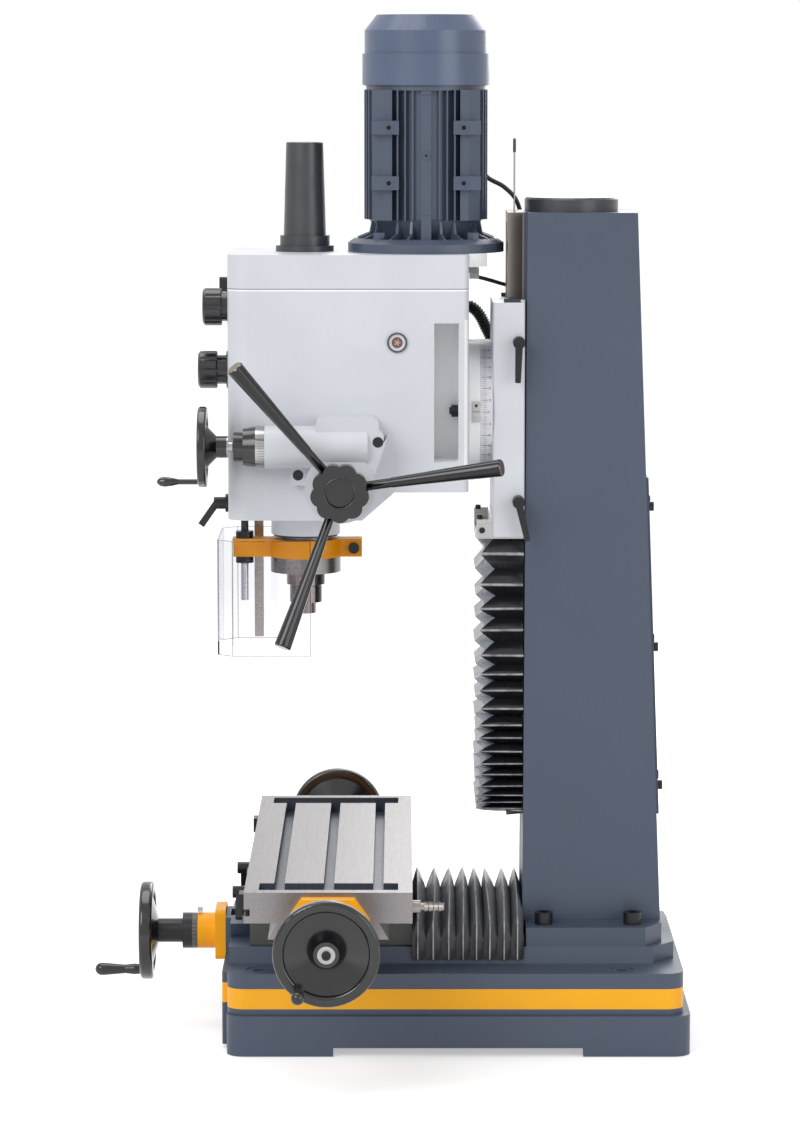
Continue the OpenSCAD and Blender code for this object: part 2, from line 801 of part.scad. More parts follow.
module saddle_gibs() {
    y_neck = base_dovetail_w / 2 - base_dovetail_h * lean;
    low_x = y_neck + 2 * run_gap + (saddle_z0 + over - way_z) * lean;
    top_x = y_neck + 2 * run_gap + (base_dovetail_h - over) * lean;
    front_y = -table_dovetail_w / 2 - 2 * run_gap;
    top_y = front_y + (saddle_land_z - over - saddle_top) * lean;
    color("silver") {
        along_y(saddle_y0 + over, saddle_y1 - over) polygon([
            [low_x, saddle_z0 + over], [low_x + gib_t - run_gap, saddle_z0 + over],
            [top_x + gib_t - run_gap, base_dovetail_z - over], [top_x, base_dovetail_z - over]
        ]);
        along_x(-saddle_w / 2 + over, saddle_w / 2 - over) translate([-table_y, 0]) polygon([
            [front_y, saddle_top], [front_y - gib_t + run_gap, saddle_top],
            [top_y - gib_t + run_gap, saddle_land_z - over], [top_y, saddle_land_z - over]
        ]);
    }
}

module feed_nuts() {
    color("goldenrod") {
        difference() {
            block(-nut_w / 2, nut_w / 2, -table_y - nut_l / 2, -table_y + nut_l / 2,
                y_screw_z - nut_w / 2, base_dovetail_z + run_gap);
            bar_y(screw_d + 2 * fit_gap, -table_y - nut_l, -table_y + nut_l, 0, y_screw_z);
        }
        difference() {
            block(-nut_l / 2, nut_l / 2, -table_y - nut_w / 2, -table_y + nut_w / 2,
                saddle_top, table_z0);
            bar_x(screw_d + 2 * fit_gap, -nut_l, nut_l, -table_y, x_screw_z);
        }
    }
}

// Clamping lever on a stud along Y, its arm turned about the stud
module lock_lever_y(x, z, turn) {
    color("#17181A") {
        bar_y(lock_hub_d, saddle_y0 - lock_hub_l, saddle_y0 - fit_gap, x, z);
        bar_y(lock_stud_d, saddle_y0 - lock_hub_l / 2, saddle_y0 + lock_stud_l - over, x, z);
        along_y(saddle_y0 - lock_arm_out - lock_arm_t, saddle_y0 - lock_arm_out)
            translate([x, z]) rotate(turn) lever_arm(lock_arm_l);
    }
}

module saddle_lock_left() {
    lock_lever_y(-lock_x, saddle_top + lock_rise, lock_turns[0]);
}

module saddle_lock_right() {
    lock_lever_y(lock_x, saddle_top + lock_rise, lock_turns[1]);
}

module table() {
    color("#8F8E96") difference() {
        union() {
            block(-table_l / 2, table_l / 2, table_y0, table_y1, table_z0, table_top);
            along_x(-table_l / 2, table_l / 2)
                dovetail_down(table_dovetail_w, table_dovetail_h + over, table_z0 + over);
        }
        for (i = [-1:1]) {
            block(-trough_x1, trough_x1, -table_y + i * slot_pitch - slot_w / 2,
                -table_y + i * slot_pitch + slot_w / 2, table_top - slot_h, table_top + over);
            block(-trough_x1, trough_x1, -table_y + i * slot_pitch - slot_undercut_w / 2,
                -table_y + i * slot_pitch + slot_undercut_w / 2,
                table_top - slot_h, table_top - slot_h / 2);
        }
        for (s = [-1, 1])
            block(min(s * trough_x0, s * trough_x1), max(s * trough_x0, s * trough_x1),
                -table_y - trough_w / 2, -table_y + trough_w / 2,
                table_top - trough_d, table_top + over);
        for (s = [-1, 1])
            bar_z(slot_w, table_top - slot_h - side_groove_h / 2, table_top,
                s * (trough_x0 + trough_x1) / 2, table_y1 - base_wall * 2);
        block(-table_l / 2 - over, table_l / 2 + over, table_y0 - over, table_y0 + side_groove_d,
            table_z0 + side_groove_rise, table_z0 + side_groove_rise + side_groove_h);
        block(-table_l / 2 - over, table_l / 2 + over, -table_y - nut_channel_w / 2,
            -table_y + nut_channel_w / 2, table_z0 - table_dovetail_h - over, table_z0 + run_gap);
    }
}

module table_brackets() {
    top_z = table_top - bracket_top_gap;
    color("#F5A800") for (s = [0, 1]) mirror([s, 0, 0]) difference() {
        union() {
            along_x(table_l / 2, table_l / 2 + bracket_t) translate([-table_y, 0]) polygon([
                [-bracket_top_w / 2, top_z], [bracket_top_w / 2, top_z],
                [bracket_low_w / 2, top_z - bracket_drop / 2],
                [bracket_low_w / 2, top_z - bracket_drop],
                [bracket_nose_d / 2, x_screw_z - bracket_nose_d / 2],
                [-bracket_nose_d / 2, x_screw_z - bracket_nose_d / 2],
                [-bracket_low_w / 2, top_z - bracket_drop],
                [-bracket_low_w / 2, top_z - bracket_drop / 2]
            ]);
            bar_x(bracket_nose_d, table_l / 2 + over, x_nose_x, -table_y, x_screw_z);
        }
        bar_x(screw_d + 2 * fit_gap, table_l / 2 - over, x_nose_x + over, -table_y, x_screw_z);
    }
}

module table_stops() {
    groove_z = table_z0 + side_groove_rise;
    color("#17181A") for (s = [-1, 1]) {
        block(s * stop_x - stop_w / 2, s * stop_x + stop_w / 2, table_y0 - stop_proud, table_y0,
            groove_z - stop_lip, groove_z + side_groove_h + stop_lip);
        block(s * stop_x - stop_w / 2, s * stop_x + stop_w / 2, table_y0 - over,
            table_y0 + side_groove_d - over, groove_z + run_gap, groove_z + side_groove_h - run_gap);
    }
}

module drain_nipple() {
    barbs = 4;
    barb_l = nipple_l * 0.6 / barbs;
    color("silver") turned_y(nipple_x, table_y1, table_z0 + nipple_rise) {
        square([nipple_d * 0.6, nipple_l * 0.25]);
        square([nipple_d * 0.35, nipple_l]);
        for (i = [0:barbs - 1]) translate([0, nipple_l * 0.38 + i * barb_l])
            polygon([[0, 0], [nipple_d / 2, 0], [nipple_d * 0.36, barb_l], [0, barb_l]]);
    }
}

module x_screw() {
    color("silver") {
        bar_x(screw_d, -x_nose_x - x_dial_l, x_nose_x + x_dial_l, -table_y, x_screw_z);
        bar_x(wheel_bore, -x_wheel_reach, x_wheel_reach, -table_y, x_screw_z);
    }
}

module x_dials() {
    color("silver") for (s = [0, 1]) mirror([s, 0, 0]) difference() {
        union() {
            bar_x(x_dial_d, x_nose_x + run_gap, x_nose_x + x_dial_l, -table_y, x_screw_z);
            bar_x(wheel_hub_d, x_nose_x + run_gap, x_wheel_in - fit_gap, -table_y, x_screw_z);
        }
        bar_x(screw_d + 2 * fit_gap, x_nose_x, x_nose_x + x_dial_l + fit_gap, -table_y, x_screw_z);
        bar_x(wheel_bore + 2 * fit_gap, x_nose_x, x_wheel_reach, -table_y, x_screw_z);
    }
}

module x_handwheels() {
    color("#17181A") for (s = [0, 1]) mirror([s, 0, 0]) {
        turned_x(x_wheel_in, -table_y, x_screw_z) wheel_section(x_wheel_d);
        bar_x(stud_d, x_wheel_reach - over, x_wheel_reach + x_grip_l - grip_d1 / 2 - over,
            -table_y + x_grip_r * cos(x_grip_turn), x_screw_z + x_grip_r * sin(x_grip_turn));
    }
}

// Revolving grip of a table handwheel
module x_grip() {
    color("#17181A") turned_x(x_wheel_reach + fit_gap,
        -table_y + x_grip_r * cos(x_grip_turn), x_screw_z + x_grip_r * sin(x_grip_turn))
        grip_section(x_grip_l);
}

module x_grip_left() {
    mirror([1, 0, 0]) x_grip();
}

module x_grip_right() {
    x_grip();
}

// Sizes of the slide
swivel_ring_t = 12;
swivel_boss_d = swivel_d - 2 * swivel_ring_t;
swivel_boss_y0 = ring_y0 + 5 * run_gap;
spigot_d = 60;
spigot_l = 14;
groove_r = 75;
groove_w = 12;
groove_under_w = 20;
groove_neck = 7;
swivel_bolt_d = groove_w - 1;
swivel_bolt_turns = [0, 180];
swivel_nut_d = 20;
swivel_nut_h = 10;
slide_lock_y = 115.8;
slide_lock_rises = [53, 288];
slide_lock_turns = [13, -1.5];
slide_lock_stud_l = 30;
slide_lock_arm_l = 59;
lift_nut_w = 40;
lift_nut_h = 46;
lift_nut_rise = 118;
gland_rises = [188, 233];
gland_z = [for (rise = gland_rises) slide_z + rise];
gland_w = 24;
gland_y = [84, 120];
bellows_flange_t = 3.5;
bellows_flange_h = 28;
tall_cover_z0 = 334;
tall_cover_y0 = 54;
tall_cover_w = 184;
tall_cover_z1 = slide_z - bellows_flange_t;

// Sizes of the head
window_y = [-9, 27];
window_rises = [-71, 133];
window_z = [for (rise = window_rises) axis_z + rise];
window_core_w = 120;
head_floor_t = 80;
floor_z = head_z0 + head_floor_t;
barrel_h = 125;
barrel_z1 = floor_z + barrel_h;
belly_y = [-114.5, -67];
belly_rise = 41.5;
nose_corner_r = 30;
rear_corner_r = 12;
quill_boss_l = 33.5;
lid_lip_y = 69.6;
lid_lip_h = 19.5;
lid_roof = 10;
lid_hole_d = 46;
motor_hole_d = 60;
cable_block_w = 40;
cable_block_h = 16;
sight_y = -63;
sight_rise = 261.5;
sight_z = head_z0 + sight_rise;
sight_d = 29.6;
sight_h = 3;
panel_rises = [260.5, 354.5];
panel_z = [for (rise = panel_rises) head_z0 + rise];
panel_x = [-104, 22];
panel_t = 2.5;
switch_x = -60;
switch_rise = 336.5;
switch_z = head_z0 + switch_rise;
switch_w = 22;
switch_l = 16;
knob_x = 60;
knob_d = 55;
knob_h = 28;
knob_collar_d = 43;
knob_flange_d = 56;
knob_edge = 3;
knob_notch_d = 12;
knob_upper_rise = 309.5;
knob_upper_z = head_z0 + knob_upper_rise;
knob_lower_rise = 216.5;
knob_lower_z = head_z0 + knob_lower_rise;
knob_shaft_d = 12;
knob_collar_h = 10;
knob_notches = 9;
gear_t = 18;
gear_tooth_h = 5;
gear_shaft_d = 24;
gear_shaft_y = (spindle_y + motor_y) / 2;
motor_gear_r = 24;
small_gear_r = 30;
high_gear_z = lid_z - 34;
low_gear_z = barrel_z1 + 52;
cap_flange_d = 87;
cap_flange_h = 8.5;
cap_ring_d = 74;
cap_ring_h = 15;
cap_cone_d0 = 63;
cap_cone_d1 = 55;
cap_cone_h = 138;
cap_wall = 6;

// Sizes of the motor
motor_flange_h = 20;
bell_h = 28;
bell_d = 168;
fin_t = 2.4;
fin_depth = 11;
motor_wall = 9;
collar_h = 7;
rotor_gap = 2;
motor_shaft_d = 28;
side_w = 158;
side_x = 86;
side_boss_w = 15;
side_fin_y = [18.4, 29.6, 40.8];
post_y = [50, 79];
post_x = 81;
post_slope = 17;
lug_y = [40, 80];
lug_x = 92;
lug_h = 20;
lug_bolt_y = 55;
lug_boss_d = 14;
lug_bore_d = 7;
lug_rises = [45, 126];
centre_rise = 95;
gusset_t = 4;
gusset_turn = 15;
flange_nut_d = 19;
flange_nut_h = 11;
flange_bolt_r = 98;
box_reach = 152;
box_w = 104;
box_h = 84;
box_rise = 84;
fan_z0 = head_top + motor_flange_h + bell_h + fin_h + collar_h;
fan_side_h = 46;
fan_upper_d = 182;
fan_upper_h = 34;
fan_top_d = 146;
fan_top_h = 23;
fan_wall = 2;
fan_blades = 8;

// Sizes of the quill and the spindle
clamp_drop = 34;
clamp_z0 = head_z0 - quill_boss_l - clamp_drop;
clamp_h = 27;
nose_h = 23;
quill_in_l = 100;
quill_top = floor_z + quill_in_l;
clamp_front_l = 109.5;
clamp_rear_l = 84.5;
clamp_lug_w = 34;
clamp_ring_d = 108;
clamp_slit = 3;
clamp_bolt_back = 72.5;
clamp_bolt_d = 10;
depth_rod_front = 91.5;
depth_nut_d = 27;
depth_nut_h = 10;
depth_rod_l = 306;
depth_rod_drop = 67;
quill_lock_x = 55;
quill_lock_rise = 17.5;
quill_lock_lean = 35;
rack_pitch = 7.85;
rack_teeth = 18;
rack_depth = 3;
spindle_top = head_top - 10;
spindle_collar_d = 57;
spindle_collar_h = 19;
spindle_groove_h = 3;
spindle_nose_d = 48;
spindle_nose_h = 24;
spindle_tip_d = 30;
spindle_tip_h = 17;
socket_depth = 62;
drawbar_d = 16;
drawbar_rise = 60;
drawbar_head_d = 22;

// Sizes of the capstan and the fine feed
capstan_y = spindle_y + quill_d / 2 + pinion_r;
capstan_rise = 53.5;
capstan_z = head_z0 + capstan_rise;
capstan_shaft_d = 24;
pinion_w = 32;
feed_boss_d = 104;
feed_boss_out = 55;
feed_boss_x = head_w / 2 + feed_boss_out;
feed_box_x = feed_boss_x - 3 * over;
feed_box_y = [-36, 56];
feed_box_z = 103;
feed_box_r = 12;
feed_ear = [60, 72];
feed_ear_t = 16;
feed_ear_r = 14;
hub_d = 66;
hub_l = 44;
arm_turn = 9.5;
arm_root_d = 14;
grip_root_d = 15;
grip_end_d = 25;
grip_share = 0.68;
grip_chamfer = 2;
lobe_share = 0.18;
lobe_depth = 6;
clutch_lobes = 9;
clutch_t = 28;
clutch_gap = 9;

worm_rise = 58;
worm_z = capstan_z + worm_rise;
worm_d = 27;
worm_l = 44;
worm_wheel_d = 87;
worm_wheel_t = 20;
fine_tube_d = 62;
worm_x = (head_w + fine_tube_d + over) / 2;
fine_tube_y0 = -256;
fine_tube_y1 = -106;
fine_shaft_d = 16;
fine_ring_l = 13;
fine_cone_l = 18;
fine_cone_d0 = 54;
fine_cone_d1 = 60;
fine_collar_d = 43;
fine_collar_l = 14;
fine_neck_l = 8;
fine_hub_d = 32;
fine_hub_l = 18;
fine_web_d = 74;
fine_wheel_front = 353;
fine_rim_t = 13;
fine_grip_l = 60;
fine_stem_d = 8;
fine_bulb_d = 15;

// Sizes of the guard
guard_front = 330;
guard_drop = 206.5;
guard_z0 = head_z0 - guard_drop;
guard_chamfer = 23;
guard_left_l = 85;
guard_slot_w = 8;
guard_slot_h = 64;
bar_w = 14;
bar_t = 4;
bar_back = 56;
bar_boss_d = 24;
bar_boss_h = 18;
bar_pin_d = 10;
bar_pin_l = 20;

module slide_casting() {
    root = col_dovetail_w / 2 - (col_dovetail_d - way_flare) * lean + run_gap;
    nut_z = slide_z + lift_nut_rise;
    color("#DDE1E8") difference() {
        union() {
            along_z(slide_z, slide_z + slide_h)
                round_rect(-slide_w / 2, slide_w / 2, slide_y0, slide_y1, slide_t / 12);
            bar_y(swivel_boss_d, swivel_boss_y0, slide_y0 + over, 0, axis_z);
            bar_y(spigot_d, swivel_boss_y0 - spigot_l, slide_y0, 0, axis_z);
            block(-slide_w / 2 - gland_w, -slide_w / 2 + over, gland_y[0], gland_y[1],
                gland_z[0], gland_z[1]);
            block(-lift_nut_w / 2, lift_nut_w / 2, way_face_y - over, lift_y + lift_screw_d,
                nut_z, nut_z + lift_nut_h);
        }
        difference() {
            along_z(slide_z - over, slide_z + slide_h + over) polygon([
                [-col_dovetail_w / 2 - run_gap, way_face_y - run_gap],
                [col_dovetail_w / 2 + run_gap, way_face_y - run_gap],
                [root, way_face_y + col_dovetail_d - way_flare],
                [root, slide_y1 + over], [-root, slide_y1 + over],
                [-root, way_face_y + col_dovetail_d - way_flare]
            ]);
            block(-lift_nut_w / 2, lift_nut_w / 2, way_face_y - over, lift_y + lift_screw_d,
                nut_z, nut_z + lift_nut_h);
        }
        bar_z(lift_screw_d + 2 * fit_gap, nut_z - over, nut_z + lift_nut_h + over, 0, lift_y);
        turned_y(0, swivel_boss_y0, axis_z) {
            translate([groove_r - groove_w / 2, -over]) square([groove_w, groove_neck + 2 * over]);
            translate([groove_r - groove_under_w / 2, groove_neck])
                square([groove_under_w, slide_y0 - swivel_boss_y0 - groove_neck - over / 2]);
        }
        for (r = slide_lock_rises)
            bar_x(lock_stud_d + 2 * fit_gap, slide_w / 2 - slide_lock_stud_l - over,
                slide_w / 2 + over, slide_lock_y, slide_z + r);
    }
}

module swivel_scale() {
    ticks = 36;
    color("silver") difference() {
        bar_y(swivel_d, ring_y0, slide_y0, 0, axis_z);
        bar_y(swivel_boss_d + 2 * fit_gap, ring_y0 - over, slide_y0 + over, 0, axis_z);
        for (i = [0:ticks - 1]) translate([0, ring_y0, axis_z]) rotate([0, i * 360 / ticks, 0])
            translate([swivel_d / 2 - run_gap, run_gap * 4, -run_gap])
            cube([over, swivel_ring_w / 2, 2 * run_gap]);
    }
}

module bellows_bracket() {
    clear = col_dovetail_w / 2 + 2 * run_gap;
    edge = tall_cover_w / 2;
    color("#17181A") difference() {
        union() {
            block(-edge, edge, tall_cover_y0, slide_y1 - over, tall_cover_z1, slide_z);
            block(-edge, edge, slide_y0 - bellows_flange_t, slide_y0, tall_cover_z1,
                slide_z + bellows_flange_h);
            for (s = [0, 1]) mirror([s, 0, 0])
                block(edge - bellows_flange_t, edge, tall_cover_y0, slide_y0 - over,
                    tall_cover_z1 + over, slide_z + bellows_flange_h - bellows_flange_t);
        }
        block(-clear, clear, way_face_y - 2 * run_gap, slide_y1, tall_cover_z1 - over,
            slide_z + over);
    }
}

// Clamping lever on a stud along X, its arm hanging down
module slide_lock(rise, turn) {
    x = slide_w / 2;
    color("#17181A") {
        bar_x(lock_hub_d, x + fit_gap, x + lock_hub_l, slide_lock_y, slide_z + rise);
        bar_x(lock_stud_d, x - slide_lock_stud_l, x + lock_hub_l / 2, slide_lock_y,
            slide_z + rise);
        along_x(x + lock_arm_out, x + lock_arm_out + lock_arm_t)
            translate([slide_lock_y, slide_z + rise]) rotate(turn) lever_arm(slide_lock_arm_l);
    }
}

module slide_lock_lower() {
    slide_lock(slide_lock_rises[0], slide_lock_turns[0]);
}

module slide_lock_upper() {
    slide_lock(slide_lock_rises[1], slide_lock_turns[1]);
}

// Outline of the head in plan, drawn in by a wall
module head_plan(inset, rear) {
    round_rect(-head_w / 2 + inset, head_w / 2 - inset, head_front + inset,
        head_front + head_d / 2, nose_corner_r - inset);
    round_rect(-head_w / 2 + inset, head_w / 2 - inset, head_front + head_d / 3, rear - inset,
        rear_corner_r);
}

module head_casting() {
    color("#DDE1E8") difference() {
        union() {
            intersection() {
                along_x(-head_w, head_w) polygon([
                    [head_front - over, head_z0], [belly_y[0], head_z0],
                    [belly_y[1], head_z0 + belly_rise], [head_rear + over, head_z0 + belly_rise],
                    [head_rear + over, lid_z], [head_front - over, lid_z]
                ]);
                along_z(head_z0, lid_z) head_plan(0, head_rear);
            }
            bar_y(swivel_d, head_rear - over, ring_y0 - run_gap, 0, axis_z);
            bar_z(quill_boss_d, head_z0 - quill_boss_l, head_z0 + over, 0, spindle_y);
        }
        for (s = [0, 1]) mirror([s, 0, 0])
            block(window_core_w / 2, head_w, window_y[0], window_y[1], window_z[0], window_z[1]);
        difference() {
            along_z(floor_z, lid_z + over) head_plan(head_wall, window_y[0]);
            bar_z(quill_boss_d, floor_z - over, barrel_z1, 0, spindle_y);
        }
        along_z(window_z[1] + head_wall, lid_z + over) head_plan(head_wall, head_rear);
        bar_z(quill_d + 2 * fit_gap, head_z0 - quill_boss_l - over, barrel_z1 + over, 0, spindle_y);
        bar_x(2 * pinion_r + 2 * over, -pinion_w / 2 - over, pinion_w / 2 + over,
            capstan_y, capstan_z);
        bar_x(capstan_shaft_d + 2 * fit_gap, -head_wall * 3, head_w / 2 + over,
            capstan_y, capstan_z);
        bar_z(depth_rod_d + 2 * run_gap, head_z0 - over, floor_z + over, 0,
            spindle_y - depth_rod_front);
        bar_z(gear_shaft_d + 2 * fit_gap, floor_z - head_wall, floor_z + over, 0, gear_shaft_y);
        bar_y(lock_stud_d + 2 * fit_gap, head_front - over, spindle_y, quill_lock_x,
            head_z0 + quill_lock_rise);
        for (z = [knob_upper_z, knob_lower_z])
            bar_y(knob_shaft_d + 2 * fit_gap, head_front - over, head_front + 2 * head_wall,
                knob_x, z);
        bar_z(bar_pin_d + 2 * fit_gap, head_z0 - over, head_z0 + bar_pin_l,
            guard_pivot[0], guard_pivot[1]);
        bar_y(spigot_d + 2 * fit_gap, swivel_boss_y0 - spigot_l - run_gap, head_rear + spigot_d,
            0, axis_z);
        for (a = swivel_bolt_turns)
            bar_y(swivel_bolt_d + bolt_gap, window_y[1] - over, ring_y0 + over,
                groove_r * cos(a), axis_z + groove_r * sin(a));
    }
}

module head_lid() {
    color("#DDE1E8") difference() {
        union() {
            along_z(lid_z, head_top) head_plan(0, head_rear);
            along_z(head_top - lid_lip_h, head_top) intersection() {
                translate([0, motor_y]) circle(d = motor_flange_d);
                translate([-head_w / 2, head_rear - head_wall])
                    square([head_w, lid_lip_y - head_rear + head_wall]);
            }
            block(-head_w / 3, -head_w / 3 + cable_block_w, head_rear - over,
                head_rear + cable_block_h, head_top - lid_lip_h - cable_block_h,
                head_top - lid_lip_h + over);
        }
        along_z(lid_z - over, head_top - lid_roof) head_plan(head_wall, head_rear);
        bar_z(lid_hole_d, lid_z, head_top + over, 0, spindle_y);
        bar_z(motor_hole_d, lid_z, head_top + over, 0, motor_y);
    }
}

module swivel_bolts() {
    color("dimgray") for (a = swivel_bolt_turns)
        translate([groove_r * cos(a), 0, axis_z + groove_r * sin(a)]) {
            bar_y(swivel_bolt_d, window_y[1] - swivel_nut_h - 3 * over, slide_y0 - 3 * over);
            bar_y(groove_under_w - over, swivel_boss_y0 + groove_neck + run_gap,
                slide_y0 - 2 * over);
            translate([0, window_y[1] - swivel_nut_h, 0]) rotate([-90, 0, 0])
                cylinder(d = swivel_nut_d, h = swivel_nut_h, $fn = 6);
        }
}

// Flat fins, posts and lugs on the right side of the motor
module motor_side(z0, z1) {
    along_z(z0, z1) translate([0, motor_y]) {
        translate([0, -side_boss_w / 2]) square([side_x - fin_t, side_boss_w]);
        for (s = [0, 1]) mirror([0, s, 0]) {
            for (y = side_fin_y) translate([0, y]) square([side_x, fin_t]);
            polygon([
                [0, post_y[0]], [post_x, post_y[0]], [post_x, post_y[1] - post_slope],
                [post_x - post_slope, post_y[1]], [0, post_y[1]]
            ]);
        }
    }
    for (s = [0, 1], r = lug_rises) translate([0, motor_y, 0]) mirror([0, s, 0]) {
        block(0, lug_x, lug_y[0], lug_y[1], z0 + r, z0 + r + lug_h);
        bar_x(lug_boss_d, 0, lug_x + over, lug_bolt_y, z0 + r + lug_h / 2);
    }
    bar_x(lug_boss_d - fin_t, 0, side_x, motor_y, z0 + centre_rise);
    block(0, side_x, motor_y - side_boss_w / 2, motor_y + side_boss_w / 2,
        z0 - bell_h, z0 + collar_h);
    block(0, side_x, motor_y - side_boss_w / 2, motor_y + side_boss_w / 2,
        z1 - collar_h, z1 + collar_h - over);
}

// Gusset between the bell and the flange, turned about the motor
module motor_gusset(turn, z) {
    r0 = (bell_d - bell_h) / 2 - 2 * over;
    r1 = (motor_flange_d - motor_flange_h) / 2 - over;
    translate([0, motor_y, z - over]) rotate([90, 0, turn]) translate([0, 0, -gusset_t / 2])
        linear_extrude(height = gusset_t) polygon([
            [r0, 0], [r1, 0], [r1, 2 * over], [(r0 + r1) / 2, bell_h / 3],
            [bell_d / 2 - over, bell_h], [r0, bell_h]
        ]);
}

module motor_housing() {
    z1 = head_top + motor_flange_h;
    z2 = z1 + bell_h;
    z3 = z2 + fin_h;
    step = 360 / fin_count;
    core_r = fin_d / 2 - fin_depth;
    root_r = core_r - fin_t;
    half = asin(fin_t / fin_d);
    color("#545C6B") difference() {
        union() {
            bar_z(motor_flange_d, head_top, z1 - motor_flange_h / 3, 0, motor_y);
            translate([0, motor_y, z1 - motor_flange_h / 3]) cylinder(d1 = motor_flange_d,
                d2 = motor_flange_d - motor_flange_h, h = motor_flange_h / 3);
            translate([0, motor_y, z1 - over])
                cylinder(d1 = bell_d - bell_h, d2 = bell_d, h = bell_h + over);
            difference() {
                translate([0, motor_y, z2]) linear_extrude(height = fin_h)
                    polygon([for (i = [0:fin_count - 1], p = [
                        [root_r, -half * fin_d / 2 / root_r], [fin_d / 2, -half],
                        [fin_d / 2, half], [root_r, half * fin_d / 2 / root_r]
                    ]) [p[0] * cos(i * step + p[1]), p[0] * sin(i * step + p[1])]]);
                block(0, fin_d, motor_y - side_w / 2, motor_y + side_w / 2,
                    z2 - over, z3 + over);
            }
            bar_z(2 * core_r, z2 - over, z3, 0, motor_y);
            motor_side(z2, z3);
            bar_z(bell_d + motor_wall, z3 - over, z3 + collar_h, 0, motor_y);
            bar_z(fan_cover_d - 2 * fan_wall - run_gap, z3 + collar_h - over,
                z3 + collar_h + 2 * fan_wall, 0, motor_y);
            for (i = [1:23]) if (i % 3 != 0) motor_gusset(i * gusset_turn, z1);
            block(-box_reach, -fin_d / 3, motor_y - box_w / 2, motor_y + box_w / 2,
                z2 + box_rise, z2 + box_rise + box_h);
        }
        for (s = [-1, 1], r = lug_rises)
            bar_x(lug_bore_d, core_r, lug_x + 2 * over, motor_y + s * lug_bolt_y,
                z2 + r + lug_h / 2);
        bar_x(lug_bore_d - fin_t, core_r, side_x + over, motor_y, z2 + centre_rise);
        bar_z(2 * (core_r - motor_wall), z1 + motor_wall, z3 - motor_wall, 0, motor_y);
        bar_z(motor_shaft_d + 2 * fit_gap, head_top - over, z3 + collar_h + 3 * fan_wall, 0,
            motor_y);
        bar_z(motor_hole_d, head_top - over, head_top + motor_wall, 0, motor_y);
    }
    color("dimgray") for (a = [45, 135, 225, 315])
        translate([flange_bolt_r * cos(a), motor_y + flange_bolt_r * sin(a), z1 - over])
        cylinder(d = flange_nut_d, h = flange_nut_h, $fn = 6);
}

// Outline of the fan cover, drawn in by its wall
module fan_outline(inset) {
    z1 = fan_side_h;
    z2 = z1 + fan_upper_h;
    z3 = z2 + fan_top_h;
    polygon([
        [0, -inset], [fan_cover_d / 2 - inset, -inset], [fan_cover_d / 2 - inset, z1 - inset],
        [fan_upper_d / 2 - inset, z1 - inset], [fan_upper_d / 2 - inset, z2 - inset],
        [fan_top_d / 2 - inset, z3 - inset], [0, z3 - inset]
    ]);
}

module fan_cover() {
    top_z = fan_z0 + fan_side_h + fan_upper_h + fan_top_h;
    color("#4B5361") difference() {
        translate([0, motor_y, fan_z0]) rotate_extrude() difference() {
            fan_outline(0);
            fan_outline(fan_wall);
        }
        for (i = [0:11]) translate([0, motor_y, top_z - 2 * fan_wall]) rotate([0, 0, i * 30])
            translate([fan_top_d / 6, -fan_wall, 0])
            cube([fan_top_d / 4, 2 * fan_wall, 4 * fan_wall]);
    }
}

module motor_rotor() {
    z2 = head_top + motor_flange_h + bell_h;
    rotor_r = fin_d / 2 - fin_depth - motor_wall - motor_wall - rotor_gap;
    color("silver") translate([0, motor_y, 0]) {
        bar_z(motor_shaft_d, high_gear_z, fan_z0 + fan_side_h);
        bar_z(2 * rotor_r, z2 + motor_wall, z2 + fin_h - 2 * motor_wall);
        bar_z(motor_shaft_d * 2, fan_z0 + motor_wall, fan_z0 + motor_wall * 2);
        for (i = [0:fan_blades - 1]) rotate([0, 0, i * 360 / fan_blades])
            translate([motor_shaft_d / 2 - over, -fan_wall / 2, fan_z0 + motor_wall])
            cube([fan_upper_d / 3, fan_wall, fan_side_h / 2]);
        translate([0, 0, high_gear_z]) gear(motor_gear_r, gear_tooth_h, 14, gear_t,
            motor_shaft_d - over);
    }
}

module drawbar_cap() {
    color("#17181A") translate([0, spindle_y, head_top]) rotate_extrude() difference() {
        polygon([
            [0, 0], [cap_flange_d / 2, 0], [cap_flange_d / 2, cap_flange_h],
            [cap_ring_d / 2, cap_flange_h], [cap_ring_d / 2, cap_flange_h + cap_ring_h],
            [cap_cone_d0 / 2, cap_flange_h + cap_ring_h],
            [cap_cone_d1 / 2, cap_flange_h + cap_ring_h + cap_cone_h - over],
            [cap_cone_d1 / 2 - over, cap_flange_h + cap_ring_h + cap_cone_h],
            [0, cap_flange_h + cap_ring_h + cap_cone_h]
        ]);
        translate([0, -over]) square([cap_cone_d1 / 2 - cap_wall,
            cap_flange_h + cap_ring_h + cap_cone_h - cap_wall]);
    }
}

module gear_shaft() {
    big_r = (motor_y - spindle_y) / 2 - motor_gear_r - run_gap;
    color("silver") translate([0, gear_shaft_y, 0]) {
        bar_z(gear_shaft_d, floor_z - head_wall, high_gear_z + gear_t + head_wall);
        translate([0, 0, high_gear_z]) gear(big_r, gear_tooth_h, 46, gear_t, gear_shaft_d - over);
        translate([0, 0, low_gear_z]) gear(small_gear_r, gear_tooth_h, 20, gear_t,
            gear_shaft_d - over);
    }
}

module drive_sleeve() {
    big_r = (motor_y - spindle_y) / 2 - small_gear_r - run_gap;
    sleeve_d = spindle_d + 2 * head_wall;
    color("silver") translate([0, spindle_y, 0]) {
        difference() {
            bar_z(sleeve_d, barrel_z1 + run_gap, low_gear_z + gear_t + head_wall);
            bar_z(spindle_d + 2 * fit_gap, barrel_z1, low_gear_z + gear_t + 2 * head_wall);
        }
        translate([0, 0, low_gear_z]) gear(big_r, gear_tooth_h, 40, gear_t, sleeve_d - over);
    }
}

